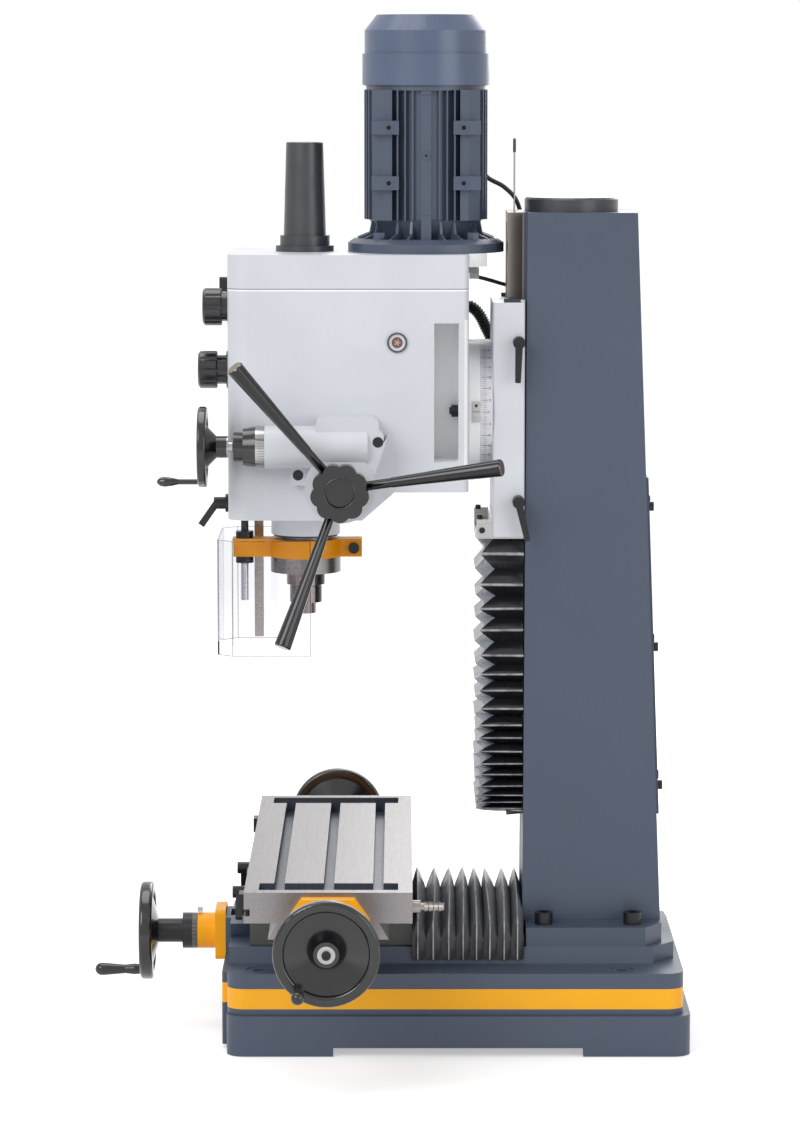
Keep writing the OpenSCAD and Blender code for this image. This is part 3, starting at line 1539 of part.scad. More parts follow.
module feed_housing() {
    y0 = capstan_y + feed_box_y[0];
    y1 = capstan_y + feed_box_y[1];
    top_z = capstan_z + feed_box_z;
    ear_y = capstan_y - feed_ear[0];
    ear_z = capstan_z + feed_ear_r;
    color("#DDE1E8") difference() {
        union() {
            bar_x(feed_boss_d, head_w / 2, feed_boss_x, capstan_y, capstan_z);
            bar_y(fine_tube_d, fine_tube_y0, fine_tube_y1, worm_x, worm_z);
            along_x(head_w / 2, feed_box_x) {
                round_rect(y0, y1, worm_z - feed_box_r, top_z, feed_box_r);
                polygon([
                    [y0, worm_z], [y1, worm_z], [y1 + feed_box_r, feed_ear[1] + capstan_z],
                    [y1 - feed_box_r, capstan_z], [y0, capstan_z]
                ]);
                translate([y1 - feed_ear_r / 2, feed_ear[1] + capstan_z]) circle(feed_ear_r);
            }
            along_x(head_w / 2, head_w / 2 + feed_ear_t) {
                round_rect(ear_y - feed_ear_r, capstan_y, ear_z - feed_ear_r,
                    ear_z + feed_ear_r, feed_ear_r / 2);
            }
        }
        block(0, head_w / 2, fine_tube_y0 - over, fine_tube_y1 + over, head_z0, worm_z * 2);
        bar_x(worm_wheel_d + 4 * over, worm_x - worm_wheel_t / 2 - over,
            worm_x + worm_wheel_t / 2 + over, capstan_y, capstan_z);
        bar_y(worm_d + 2 * over, capstan_y - worm_l / 2 - over, capstan_y + worm_l / 2 + over,
            worm_x, worm_z);
        bar_x(capstan_shaft_d + 2 * fit_gap, head_w / 2 - over, feed_boss_x + over,
            capstan_y, capstan_z);
        bar_y(fine_shaft_d + 2 * fit_gap, fine_tube_y0 - over, capstan_y, worm_x, worm_z);
    }
}

module sight_glass() {
    color("#C9B64A") translate([head_w / 2, sight_y, sight_z]) rotate([0, 90, 0]) {
        difference() {
            cylinder(d = sight_d, h = sight_h);
            translate([0, 0, sight_h / 2]) cylinder(d = sight_d * 0.75, h = sight_h);
        }
    }
}

module control_panel() {
    color("#17181A") {
        along_y(head_front - panel_t, head_front)
            round_rect(panel_x[0], panel_x[1], panel_z[0], panel_z[1], head_wall / 2);
        along_y(head_front - panel_t - switch_l, head_front - panel_t)
            round_rect(switch_x - switch_w / 2, switch_x + switch_w / 2,
                switch_z - switch_w / 2, switch_z + switch_w / 2, panel_t);
    }
}

guard_pivot = [-guard_w / 2 + guard_t + bar_t / 2, -guard_front + bar_back];

module guard_bar() {
    x0 = -guard_w / 2 + guard_t;
    z1 = head_z0 - bar_boss_h;
    color("silver") {
        block(x0, x0 + bar_t, guard_pivot[1] - bar_w / 2, guard_pivot[1] + bar_w / 2,
            guard_z0 + guard_t, z1 + over);
        bar_z(bar_boss_d, z1, head_z0 - run_gap, guard_pivot[0], guard_pivot[1]);
        bar_z(bar_pin_d, z1, head_z0 + bar_pin_l - over, guard_pivot[0], guard_pivot[1]);
    }
}

// Outline of the guard in plan, drawn in by its wall
module guard_plan(inset) {
    x = guard_w / 2 - inset;
    c = guard_chamfer - inset * tan(22.5);
    polygon([
        [x, -guard_front + guard_d + over * inset], [x, -guard_front + c + inset],
        [x - c, -guard_front + inset], [-x + c, -guard_front + inset],
        [-x, -guard_front + c + inset], [-x, -guard_front + guard_d + over * inset]
    ]);
}

module guard() {
    slot_y = -guard_front + guard_left_l - guard_slot_w * 2;
    color("#E8EEF0", 0.35) difference() {
        along_z(guard_z0, guard_z0 + guard_h) difference() {
            guard_plan(0);
            guard_plan(guard_t);
            translate([-guard_w, -guard_front + guard_left_l]) square([guard_w, guard_d]);
        }
        guard_slot(-guard_w / 2, slot_y, guard_z0 + guard_h / 2);
    }
}

// Slot with round ends through the left panel
module guard_slot(x, y, z) {
    for (s = [-1, 1])
        bar_x(guard_slot_w, x - over, x + guard_t + over, y, z + s * guard_slot_h / 2);
    block(x - over, x + guard_t + over, y - guard_slot_w / 2, y + guard_slot_w / 2,
        z - guard_slot_h / 2, z + guard_slot_h / 2);
}

// Knob with shallow notches on a collar and a shaft along Y
module speed_knob(z, collar_h, plate_d) {
    y0 = head_front - collar_h - knob_h;
    color("#17181A") difference() {
        union() {
            bar_y(knob_shaft_d, y0 + over, head_front + 3 * head_wall, knob_x, z);
            bar_y(knob_collar_d, y0 + knob_h - over, head_front - fit_gap, knob_x, z);
            bar_y(plate_d, head_front - knob_collar_h / 3, head_front - fit_gap, knob_x, z);
            turned_y(knob_x, y0, z) polygon([
                [0, 0], [knob_d / 2 - knob_edge, 0], [knob_d / 2, knob_edge],
                [knob_d / 2, knob_h - knob_edge / 2], [knob_d / 2 - knob_edge / 2, knob_h],
                [0, knob_h]
            ]);
        }
        for (i = [0:knob_notches - 1]) translate([knob_x, y0 + knob_edge + over, z])
            rotate([0, i * 360 / knob_notches, 0])
            bar_y(knob_notch_d, 0, knob_h, knob_d / 2 + knob_notch_d / 2 - knob_edge / 2, 0);
    }
}

module speed_knob_upper() {
    speed_knob(knob_upper_z, knob_collar_h, knob_collar_d + over);
}

module speed_knob_lower() {
    speed_knob(knob_lower_z, knob_collar_h * 1.7, knob_flange_d);
}

module quill_lock() {
    z = head_z0 + quill_lock_rise;
    y1 = head_front - lock_hub_l / 2;
    color("#17181A") {
        bar_y(lock_hub_d, y1 - lock_arm_t, head_front - fit_gap, quill_lock_x, z);
        bar_y(lock_stud_d, head_front - over, spindle_y - over, quill_lock_x, z);
        translate([0, y1, z]) rotate([-quill_lock_lean, 0, 0]) along_y(-lock_arm_t, 0)
            translate([quill_lock_x, 0]) lever_arm(lock_arm_l);
    }
}

module capstan() {
    hub_x0 = feed_boss_x + run_gap;
    arm_x = hub_x0 + hub_l / 2;
    shank = arm_l * (1 - grip_share);
    color("silver") {
        bar_x(capstan_shaft_d, -pinion_w / 2 - head_wall / 2, hub_x0 + hub_l + clutch_gap,
            capstan_y, capstan_z);
        translate([-pinion_w / 2, capstan_y, capstan_z]) rotate([0, 90, 0])
            gear(pinion_r - run_gap, gear_tooth_h / 2, 14, pinion_w, capstan_shaft_d - over);
        bar_x(hub_d, hub_x0, hub_x0 + hub_l, capstan_y, capstan_z);
        for (i = [0:arm_count - 1]) translate([arm_x, capstan_y, capstan_z])
            rotate([arm_turn + i * 360 / arm_count, 0, 0]) rotate([-90, 0, 0])
            rotate([0, arm_lean, 0]) {
            cylinder(d = arm_root_d, h = shank + over);
            translate([0, 0, shank]) cylinder(d1 = grip_root_d, d2 = grip_end_d,
                h = arm_l * grip_share - grip_chamfer);
            translate([0, 0, arm_l - grip_chamfer]) cylinder(d1 = grip_end_d,
                d2 = grip_end_d - 2 * grip_chamfer, h = grip_chamfer);
        }
    }
}

module worm_wheel() {
    color("goldenrod") translate([worm_x - worm_wheel_t / 2, capstan_y, capstan_z])
        rotate([0, 90, 0]) gear(worm_wheel_d / 2, gear_tooth_h / 2, 40, worm_wheel_t,
            capstan_shaft_d + 2 * fit_gap);
}

module clutch_knob() {
    x0 = feed_boss_x + run_gap + hub_l + fit_gap;
    lobe_r = clutch_d * lobe_share;
    color("#17181A") difference() {
        union() {
            bar_x(capstan_shaft_d * 1.6, x0, x0 + clutch_gap + over, capstan_y, capstan_z);
            translate([x0 + clutch_gap, capstan_y, capstan_z]) rotate([0, 90, 0])
                linear_extrude(height = clutch_t) {
                circle(d = clutch_d - 2 * lobe_depth);
                for (i = [0:clutch_lobes - 1]) rotate([0, 0, i * 360 / clutch_lobes])
                    translate([clutch_d / 2 - lobe_r, 0]) circle(r = lobe_r);
            }
        }
        bar_x(capstan_shaft_d + 2 * fit_gap, x0 - over, x0 + clutch_gap + over,
            capstan_y, capstan_z);
        bar_x(clutch_d * 0.55, x0 + clutch_gap + clutch_t * 0.75, x0 + clutch_gap + clutch_t + over,
            capstan_y, capstan_z);
    }
}

module fine_feed_wheel() {
    ring_y = fine_tube_y0 - run_gap;
    cone_y = ring_y - fine_ring_l;
    collar_y = cone_y - fine_cone_l;
    hub_y = collar_y - fine_collar_l - fine_neck_l;
    cone_l = fine_wheel_front + hub_y - fine_hub_l - fine_rim_t / 2;
    grip_r = fine_wheel_d / 2 - rim_w / 2;
    color("#17181A") translate([worm_x, 0, worm_z]) {
        bar_y(fine_shaft_d, -fine_wheel_front, capstan_y);
        bar_y(worm_d, capstan_y - worm_l / 2, capstan_y + worm_l / 2);
        bar_y(fine_tube_d, cone_y, ring_y);
        translate([0, collar_y, 0]) rotate([-90, 0, 0])
            cylinder(d1 = fine_cone_d0, d2 = fine_cone_d1, h = fine_cone_l + over);
        bar_y(fine_collar_d, collar_y - fine_collar_l, collar_y + over);
        bar_y(fine_hub_d, hub_y - fine_hub_l, hub_y);
        translate([0, hub_y - fine_hub_l - cone_l, 0]) rotate([-90, 0, 0])
            cylinder(d1 = fine_web_d, d2 = fine_hub_d, h = cone_l + over);
        turned_y(0, -fine_wheel_front, 0) {
            translate([fine_wheel_d / 2 - rim_w, 0])
                round_rect(0, rim_w, 0, fine_rim_t, rim_w / 5);
            translate([0, fine_rim_t / 4])
                square([fine_wheel_d / 2 - rim_w / 2, fine_rim_t / 2]);
        }
        turned_y(0, -fine_wheel_front - fine_grip_l, -grip_r) polygon([
            [0, 0], [fine_stem_d / 3, 0], [fine_bulb_d * 0.42, fine_grip_l * 0.07],
            [fine_bulb_d / 2, fine_grip_l * 0.18], [fine_bulb_d * 0.42, fine_grip_l * 0.35],
            [fine_stem_d / 2, fine_grip_l * 0.52], [fine_stem_d / 2, fine_grip_l + over],
            [0, fine_grip_l + over]
        ]);
    }
}

module quill() {
    back = spindle_y + quill_d / 2;
    color("silver") difference() {
        union() {
            bar_z(quill_d, clamp_z0 - over, quill_top, 0, spindle_y);
            bar_z(nose_d, clamp_z0 - nose_h, clamp_z0, 0, spindle_y);
        }
        bar_z(spindle_d + 2 * fit_gap, clamp_z0 - nose_h - over, quill_top + over, 0, spindle_y);
        for (i = [0:rack_teeth - 1])
            block(-pinion_w / 2, pinion_w / 2, back - rack_depth, back + over,
                capstan_z - rack_pitch + i * rack_pitch,
                capstan_z - rack_pitch / 2 + i * rack_pitch);
    }
}

module quill_clamp() {
    color("#F5A800") difference() {
        union() {
            bar_z(clamp_ring_d, clamp_z0, clamp_z0 + clamp_h, 0, spindle_y);
            block(-clamp_lug_w / 2, clamp_lug_w / 2, spindle_y - clamp_front_l,
                spindle_y, clamp_z0, clamp_z0 + clamp_h);
            block(-clamp_lug_w / 2, clamp_lug_w / 2, spindle_y, spindle_y + clamp_rear_l,
                clamp_z0, clamp_z0 + clamp_h);
        }
        bar_z(quill_d + 2 * fit_gap, clamp_z0 - over, clamp_z0 + clamp_h + over, 0, spindle_y);
        block(-clamp_slit / 2, clamp_slit / 2, spindle_y, spindle_y + clamp_rear_l + over,
            clamp_z0 - over, clamp_z0 + clamp_h + over);
        bar_z(depth_rod_d + 2 * fit_gap, clamp_z0 - over, clamp_z0 + clamp_h + over, 0,
            spindle_y - depth_rod_front);
    }
    color("dimgray") bar_x(clamp_bolt_d * 1.6, clamp_lug_w / 2, clamp_lug_w / 2 + clamp_bolt_d,
        spindle_y + clamp_bolt_back, clamp_z0 + clamp_h / 2);
}

module depth_rod() {
    y = spindle_y - depth_rod_front;
    color("silver") {
        bar_z(depth_rod_d, clamp_z0 - depth_rod_drop, clamp_z0 - depth_rod_drop + depth_rod_l, 0, y);
        bar_z(depth_nut_d, clamp_z0 - depth_nut_h - run_gap, clamp_z0 - run_gap, 0, y);
        bar_z(depth_nut_d, clamp_z0 + clamp_h + run_gap,
            clamp_z0 + clamp_h + depth_nut_h + run_gap, 0, y);
    }
}

module spindle() {
    z0 = clamp_z0 - nose_h - run_gap;
    z1 = z0 - spindle_collar_h;
    z2 = z1 - spindle_groove_h - spindle_nose_h;
    z3 = z2 - spindle_tip_h;
    color("silver") difference() {
        translate([0, spindle_y, 0]) {
            bar_z(spindle_d, z1, spindle_top);
            bar_z(spindle_collar_d, z1, z0);
            bar_z(spindle_nose_d - 4, z1 - spindle_groove_h - over, z1 + over);
            bar_z(spindle_nose_d, z2, z1 - spindle_groove_h);
            bar_z(spindle_tip_d, z3, z2 + over);
            bar_z(drawbar_d, spindle_top - over, spindle_top + drawbar_rise);
            translate([0, 0, spindle_top + drawbar_rise - over])
                cylinder(d = drawbar_head_d, h = drawbar_d, $fn = 6);
        }
        bar_z(socket_d, z3 - over, z3 + socket_depth, 0, spindle_y);
    }
}

// Faces between successive rings of points, closed at both ends
function ring_faces(rings, n, flip) = [
    for (i = [0:rings - 2], j = [0:n - 1], t = [0, 1])
        let (a = i * n + j, b = i * n + (j + 1) % n, c = a + n, d = b + n,
            f = t == 0 ? [a, b, d] : [a, d, c])
        flip ? [f[2], f[1], f[0]] : f
];

// Pleated cover from rings that alternate between a crest and a valley
module pleated(crest, valley, places, flip) {
    n = len(crest);
    half = n / 2;
    rings = len(places);
    points = [for (i = [0:rings - 1], p = (i % 2 == 0 ? crest : valley))
        [p[0], p[1], places[i]]];
    caps = [for (j = [0:half - 2], t = [0, 1])
        t == 0 ? [j, n - 1 - j, n - 2 - j] : [j, n - 2 - j, j + 1]];
    last = (rings - 1) * n;
    polyhedron(points, concat(
        ring_faces(rings, n, flip),
        [for (f = caps) flip ? [f[2], f[1], f[0]] : f],
        [for (f = caps) flip
            ? [f[0] + last, f[1] + last, f[2] + last]
            : [f[2] + last, f[1] + last, f[0] + last]]
    ));
}

// Share of the height that each fold of the tall cover reaches, closer below
function tall_place(i) = tall_cover_z0 + cloth_t * 2
    + (tall_cover_z1 - tall_cover_z0 - cloth_t * 2) * pow(i / (2 * tall_folds), 1.45);

module vertical_bellows() {
    x = tall_cover_w / 2;
    y1 = col_wall_y0 - 2 * run_gap;
    side_d = x - col_dovetail_w / 2 - cloth_t - 4 * run_gap;
    wall = cloth_t;
    crest = [
        [-x, y1], [-x, tall_cover_y0], [x, tall_cover_y0], [x, y1],
        [x - wall, y1], [x - wall, tall_cover_y0 + wall],
        [-x + wall, tall_cover_y0 + wall], [-x + wall, y1]
    ];
    valley = [
        [-x + side_d, y1], [-x + side_d, tall_cover_y0 + fold_d],
        [x - side_d, tall_cover_y0 + fold_d], [x - side_d, y1],
        [x - side_d - wall, y1], [x - side_d - wall, tall_cover_y0 + fold_d + wall],
        [-x + side_d + wall, tall_cover_y0 + fold_d + wall], [-x + side_d + wall, y1]
    ];
    color("#1B1C1E") {
        pleated(crest, valley, [for (i = [0:2 * tall_folds]) tall_place(i)], true);
        difference() {
            block(-x, x, tall_cover_y0 + fold_d / 2, y1,
                tall_cover_z0 - cloth_t, tall_cover_z0 + cloth_t * 2);
            block(-col_dovetail_w / 2 - run_gap, col_dovetail_w / 2 + run_gap,
                way_face_y - run_gap, y1 + over, tall_cover_z0 - over * 2, slide_z);
        }
    }
}

module front_bellows() {
    y0 = saddle_y1 + run_gap;
    y1 = col_wall_y0 - 2 * run_gap;
    low_z = base_h + way_flare + over;
    mid_z = way_z + base_ledge / 2;
    wall = cloth_t;
    crest_x = way_w / 2 + way_flare + 4;
    valley_x = crest_x - 2.4;
    roof_rise = 77.7;
    roof_z = way_z + roof_rise;
    roof_x = 63;
    crest = [
        [-crest_x, low_z], [-crest_x, mid_z], [-crest_x, mid_z + fold_d + base_ledge],
        [-roof_x, roof_z], [roof_x, roof_z], [crest_x, mid_z + fold_d + base_ledge],
        [crest_x, mid_z], [crest_x, low_z],
        [crest_x - wall, low_z], [crest_x - wall, mid_z],
        [crest_x - wall, mid_z + fold_d + base_ledge - wall], [roof_x - wall / 2, roof_z - wall],
        [-roof_x + wall / 2, roof_z - wall], [-crest_x + wall, mid_z + fold_d + base_ledge - wall],
        [-crest_x + wall, mid_z], [-crest_x + wall, low_z]
    ];
    inner_x = crest_x - base_ledge + run_gap;
    valley = [
        [-valley_x, low_z], [-valley_x, mid_z], [-inner_x, mid_z + fold_d],
        [-roof_x + fold_d / 2, roof_z - fold_d], [roof_x - fold_d / 2, roof_z - fold_d],
        [inner_x, mid_z + fold_d], [valley_x, mid_z], [valley_x, low_z],
        [valley_x - wall, low_z], [valley_x - wall, mid_z], [inner_x - wall, mid_z + fold_d - wall],
        [roof_x - fold_d / 2 - wall / 2, roof_z - fold_d - wall],
        [-roof_x + fold_d / 2 + wall / 2, roof_z - fold_d - wall],
        [-inner_x + wall, mid_z + fold_d - wall],
        [-valley_x + wall, mid_z], [-valley_x + wall, low_z]
    ];
    color("#1B1C1E") rotate([90, 0, 0])
        pleated(crest, valley,
            [for (i = [0:2 * low_folds]) -y1 + (y1 - y0) * i / (2 * low_folds)], true);
}

// Point on a smooth curve through hand-picked points
function smooth_at(p, i, t) = let (
        a = p[max(i - 1, 0)], b = p[i], c = p[i + 1], d = p[min(i + 2, len(p) - 1)])
    b + 0.5 * t * (c - a + t * (2 * a - 5 * b + 4 * c - d + t * (3 * (b - c) + d - a)));

function smooth_path(p, steps) = concat(
    [for (i = [0:len(p) - 2], k = [0:steps - 1]) smooth_at(p, i, k / steps)], [p[len(p) - 1]]);

function unit(v) = v / norm(v);

function path_dir(p, i) = unit(p[min(i + 1, len(p) - 1)] - p[max(i - 1, 0)]);

// Ring of points round a path, level with the X axis
function path_ring(c, dir, r, n) = let (v = unit(cross(dir, [1, 0, 0])), u = cross(v, dir))
    [for (j = [0:n - 1]) c + r * (cos(360 * j / n) * u + sin(360 * j / n) * v)];

// Round lead swept along a path
module lead(path, d, n) {
    m = len(path);
    points = [for (i = [0:m - 1], q = path_ring(path[i], path_dir(path, i), d / 2, n)) q];
    polyhedron(points, concat(
        ring_faces(m, n, false),
        [[for (j = [n - 1:-1:0]) j]],
        [[for (j = [0:n - 1]) (m - 1) * n + j]]
    ));
}

// Ribbed tube with its bore, swept along a path
module ribbed_tube(path, d, root_d, bore_d, n) {
    m = len(path);
    outer = [for (i = [0:m - 1], q = path_ring(path[i], path_dir(path, i),
        (i < 3 || i > m - 4 || i % 2 == 0 ? root_d : d) / 2, n)) q];
    inner = [for (i = [0:m - 1], q = path_ring(path[i], path_dir(path, i), bore_d / 2, n)) q];
    shift = m * n;
    rim = [for (j = [0:n - 1]) [j, (j + 1) % n]];
    last = (m - 1) * n;
    polyhedron(concat(outer, inner), concat(
        ring_faces(m, n, false),
        [for (f = ring_faces(m, n, true)) [f[0] + shift, f[1] + shift, f[2] + shift]],
        [for (e = rim) [e[1], e[0], e[0] + shift]],
        [for (e = rim) [e[1], e[0] + shift, e[1] + shift]],
        [for (e = rim) [e[0] + last, e[1] + last, e[0] + last + shift]],
        [for (e = rim) [e[1] + last, e[1] + last + shift, e[0] + last + shift]]
    ));
}

lead_d = 7;
conduit_d = 17.5;
conduit_root_d = 14;
conduit_bore_d = 11;
conduit_steps = 14;

// Route of the lead from the motor box down to the gland on the slide
motor_route = [
    [-110, 31.7, 1300], [-110, 44, 1299], [-110, 58, 1291], [-110, 76, 1274],
    [-110, 98, 1262], [-110, 118, 1240], [-110, 127, 1200], [-110, 126, 1150],
    [-110, 120, 1090], [-108, 115.5, 1020], [-108, 115.5, 985.4]
];

// Route of the lead from under the lid down to the gland on the slide
lid_route = [
    [-84, 57.9, 1142], [-84, 66, 1141], [-86, 76, 1136], [-93, 86, 1122],
    [-102, 88, 1095], [-101, 87, 1050], [-101, 87, 1010], [-101, 87, 985.4]
];

// Route of the ribbed conduit from the head down to the gland on the slide
conduit_route = [
    [-128, 42.2, 1080], [-128, 60, 1080], [-126, 74, 1067], [-120, 84, 1044],
    [-113, 93, 1022], [-108, 101, 1004], [-108, 101, 985.6]
];

module motor_leads() {
    color("#2A2B2D") {
        lead(smooth_path(motor_route, 3), lead_d, 8);
        lead(smooth_path(lid_route, 3), lead_d - over, 8);
    }
}

module conduit() {
    color("#2A2B2D") ribbed_tube(smooth_path(conduit_route, conduit_steps), conduit_d,
        conduit_root_d, conduit_bore_d, 8);
}

base_casting();
column_casting();
column_screws();
column_back_cover();
column_cap();
vertical_bellows();
y_feed_bracket();
front_bellows();
lift_screw();
lift_crank();
y_screw();
y_dial();
y_handwheel();
y_grip();
saddle_casting();
saddle_gibs();
feed_nuts();
saddle_lock_left();
saddle_lock_right();
table();
table_brackets();
table_stops();
drain_nipple();
x_screw();
x_dials();
x_handwheels();
x_grip_left();
x_grip_right();
slide_casting();
bellows_bracket();
swivel_scale();
slide_lock_upper();
slide_lock_lower();
head_casting();
head_lid();
swivel_bolts();
motor_housing();
fan_cover();
motor_rotor();
drawbar_cap();
gear_shaft();
drive_sleeve();
feed_housing();
sight_glass();
control_panel();
guard_bar();
guard();
motor_leads();
conduit();
speed_knob_upper();
speed_knob_lower();
quill_lock();
capstan();
worm_wheel();
clutch_knob();
fine_feed_wheel();
quill();
quill_clamp();
depth_rod();
spindle();
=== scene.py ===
# %% [markdown]
# # Mill drill
# A gear head mill drill: a table that moves in two directions, a head that slides up and
# down a dovetail column, and a quill that feeds the cutter down. The rigid parts come from
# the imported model, which is loaded first and never changed. This script gives every part
# its finish and adds what is soft, thin or printed.

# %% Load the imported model
import math
import bpy
import numpy as np
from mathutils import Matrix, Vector


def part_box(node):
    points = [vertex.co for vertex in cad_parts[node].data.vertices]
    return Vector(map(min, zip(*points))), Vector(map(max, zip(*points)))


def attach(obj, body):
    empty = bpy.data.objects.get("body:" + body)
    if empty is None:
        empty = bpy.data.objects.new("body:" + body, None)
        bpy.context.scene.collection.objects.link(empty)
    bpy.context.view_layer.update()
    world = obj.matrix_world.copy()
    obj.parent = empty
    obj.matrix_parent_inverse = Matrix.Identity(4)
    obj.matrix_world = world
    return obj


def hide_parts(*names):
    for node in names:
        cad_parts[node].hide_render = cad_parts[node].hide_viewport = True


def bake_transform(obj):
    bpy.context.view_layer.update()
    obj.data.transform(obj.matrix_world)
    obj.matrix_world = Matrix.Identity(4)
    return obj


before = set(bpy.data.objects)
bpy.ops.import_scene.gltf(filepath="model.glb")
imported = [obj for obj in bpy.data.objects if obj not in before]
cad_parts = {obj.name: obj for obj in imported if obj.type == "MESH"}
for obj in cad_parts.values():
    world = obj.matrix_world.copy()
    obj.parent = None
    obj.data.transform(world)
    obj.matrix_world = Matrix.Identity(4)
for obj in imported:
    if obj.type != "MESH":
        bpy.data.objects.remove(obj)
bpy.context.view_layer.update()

scene = bpy.context.scene
print(len(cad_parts), "parts loaded")

# %% [markdown]
# ## Camera
# The photograph was taken from the operator's right, level with the motor and looking
# slightly down. A long lens far away keeps the column's edges nearly parallel. The camera
# looks along -X, so the picture's right is +Y.

# %% Camera
looks_down = math.radians(6.767)
camera_data = bpy.data.cameras.new("camera")
camera_data.lens = 133.2
camera = bpy.data.objects.new("camera", camera_data)
scene.collection.objects.link(camera)
camera.location = (6.235, -0.0589, 1.439)
camera.rotation_euler = (math.pi / 2 - looks_down, 0, math.pi / 2)
scene.camera = camera
print("camera lens", camera_data.lens, "mm")

# %% [markdown]
# ## Light
# Product photographs are lit by wide, soft sources, which leave no hard shadow. A panorama
# picture of a studio could light the scene too, but square area lamps give the same
# softness and each can be moved by itself. A large lamp above the camera gives the shape,
# a second one opposite fills the shade, and lamps above and behind draw the edges.

# %% Lamps
def area_lamp(name, place, aim, size, power):
    """Square area lamp of a side and a power in watts, pointed at a place."""
    data = bpy.data.lights.new(name, "AREA")
    data.size, data.energy = size, power
    lamp = bpy.data.objects.new(name, data)
    lamp.location = place
    lamp.rotation_euler = (Vector(aim) - Vector(place)).to_track_quat("-Z", "Y").to_euler()
    scene.collection.objects.link(lamp)


middle = (0.0, 0.0, 0.75)
area_lamp("key_lamp", (3.6, -2.6, 3.4), middle, 2.6, 105)
area_lamp("fill_lamp", (3.4, 3.2, 1.8), middle, 2.6, 45)
area_lamp("top_lamp", (-0.5, -0.6, 4.2), middle, 2.2, 45)
area_lamp("rear_lamp", (-3.6, 1.0, 2.6), middle, 2.6, 60)
print(len(bpy.data.lights), "lamps")

# %% [markdown]
# The background of the picture is white, and a world as bright as that would wash the
# object out. The background could be cut out afterwards. Here the world is at full
# strength only for rays that the eye sees directly, in a mirror or through glass, and
# weaker for the light that falls on the object. Two helpers add a node each, join it to
# its inputs and give back its output, so that a network can be written like a formula.

# %% White world
def maths(tree, operation, *values):
    """Result of a Math node on numbers or sockets."""
    node = tree.nodes.new("ShaderNodeMath")
    node.operation = operation
    for socket, value in zip(node.inputs, values):
        if isinstance(value, (int, float)):
            socket.default_value = value
        else:
            tree.links.new(value, socket)
    return node.outputs[0]


def ranged(tree, value, start, end, low, high):
    """Map a value from start..end to low..high, and hold it between these two."""
    node = tree.nodes.new("ShaderNodeMapRange")
    for label, number in (("From Min", start), ("From Max", end), ("To Min", low),
                          ("To Max", high)):
        node.inputs[label].default_value = number
    tree.links.new(value, node.inputs["Value"])
    return node.outputs["Result"]


def seen_white(tree, strength_seen, strength_lit):
    """Strength for camera, mirror and glass rays, and another strength for the rest."""
    path = tree.nodes.new("ShaderNodeLightPath")
    seen = path.outputs["Is Camera Ray"]
    for ray in ("Is Glossy Ray", "Is Transmission Ray"):
        seen = maths(tree, "MAXIMUM", seen, path.outputs[ray])
    return ranged(tree, seen, 0.0, 1.0, strength_lit, strength_seen)


scene.view_settings.view_transform = "Standard"
world = bpy.data.worlds.new("studio")
scene.world = world
world.use_nodes = True
background = world.node_tree.nodes["Background"]
background.inputs["Color"].default_value = (1, 1, 1, 1)
world_seen, world_lit = 1.0, 0.5
world.node_tree.links.new(seen_white(world.node_tree, world_seen, world_lit),
                          background.inputs["Strength"])
print("world at", world_seen, "for the eye and", world_lit, "for the object")

# %% [markdown]
# The floor is white paper that takes a soft shadow. Lamps light it less the farther it
# lies from them, so for the eye it also glows, and more so away from the object.

# %% Floor
far, floor_z = 30, -0.0008
floor_mesh = bpy.data.meshes.new("floor")
floor_mesh.from_pydata([(-far, -far, floor_z), (far, -far, floor_z), (far, far, floor_z),
                        (-far, far, floor_z)], [], [(0, 1, 2, 3)])
floor = bpy.data.objects.new("floor", floor_mesh)
scene.collection.objects.link(floor)
floor_paper = bpy.data.materials.new("floor_paper")
floor_paper.use_nodes = True
tree = floor_paper.node_tree
shader = tree.nodes["Principled BSDF"]
shader.inputs["Base Color"].default_value = (0.8, 0.8, 0.8, 1)
shader.inputs["Roughness"].default_value = 0.9
shader.inputs["Emission Color"].default_value = (1, 1, 1, 1)
place = tree.nodes.new("ShaderNodeTexCoord")
reach = tree.nodes.new("ShaderNodeVectorMath")
reach.operation = "LENGTH"
tree.links.new(place.outputs["Object"], reach.inputs[0])
near, away, glow_near, glow_away = 0.9, 3.0, 0.45, 0.66
glow = ranged(tree, reach.outputs["Value"], near, away, glow_near, glow_away)
tree.links.new(maths(tree, "MULTIPLY", seen_white(tree, 1.0, 0.0), glow),
               shader.inputs["Emission Strength"])
floor_mesh.materials.append(floor_paper)
print("floor glows from", glow_near, "to", glow_away, "between", near, "and", away, "m")

# %% [markdown]
# ## Shared effects
# No surface of the real machine is even: enamel is mottled, steel has fine lines and
# plastic a small grain. Photographs of such surfaces could be wrapped round the parts, but
# noise worked out from the place on the surface needs no picture, has no seams and keeps
# its scale on every part.

# %% Noise, tint and bump
def stretched_noise(tree, stretch, scale):
    """Noise on Object coordinates, with its pattern stretched by a factor on each axis."""
    place = tree.nodes.new("ShaderNodeTexCoord")
    mapping = tree.nodes.new("ShaderNodeMapping")
    mapping.inputs["Scale"].default_value = stretch
    noise = tree.nodes.new("ShaderNodeTexNoise")
    noise.inputs["Scale"].default_value = scale
    noise.inputs["Detail"].default_value = 2.0
    tree.links.new(place.outputs["Object"], mapping.inputs["Vector"])
    tree.links.new(mapping.outputs["Vector"], noise.inputs["Vector"])
    return noise.outputs["Fac"]


def spread(tree, noise, low, high):
    """Map a noise, most of which lies in 0.3..0.7, to low..high."""
    return ranged(tree, noise, 0.3, 0.7, low, high)


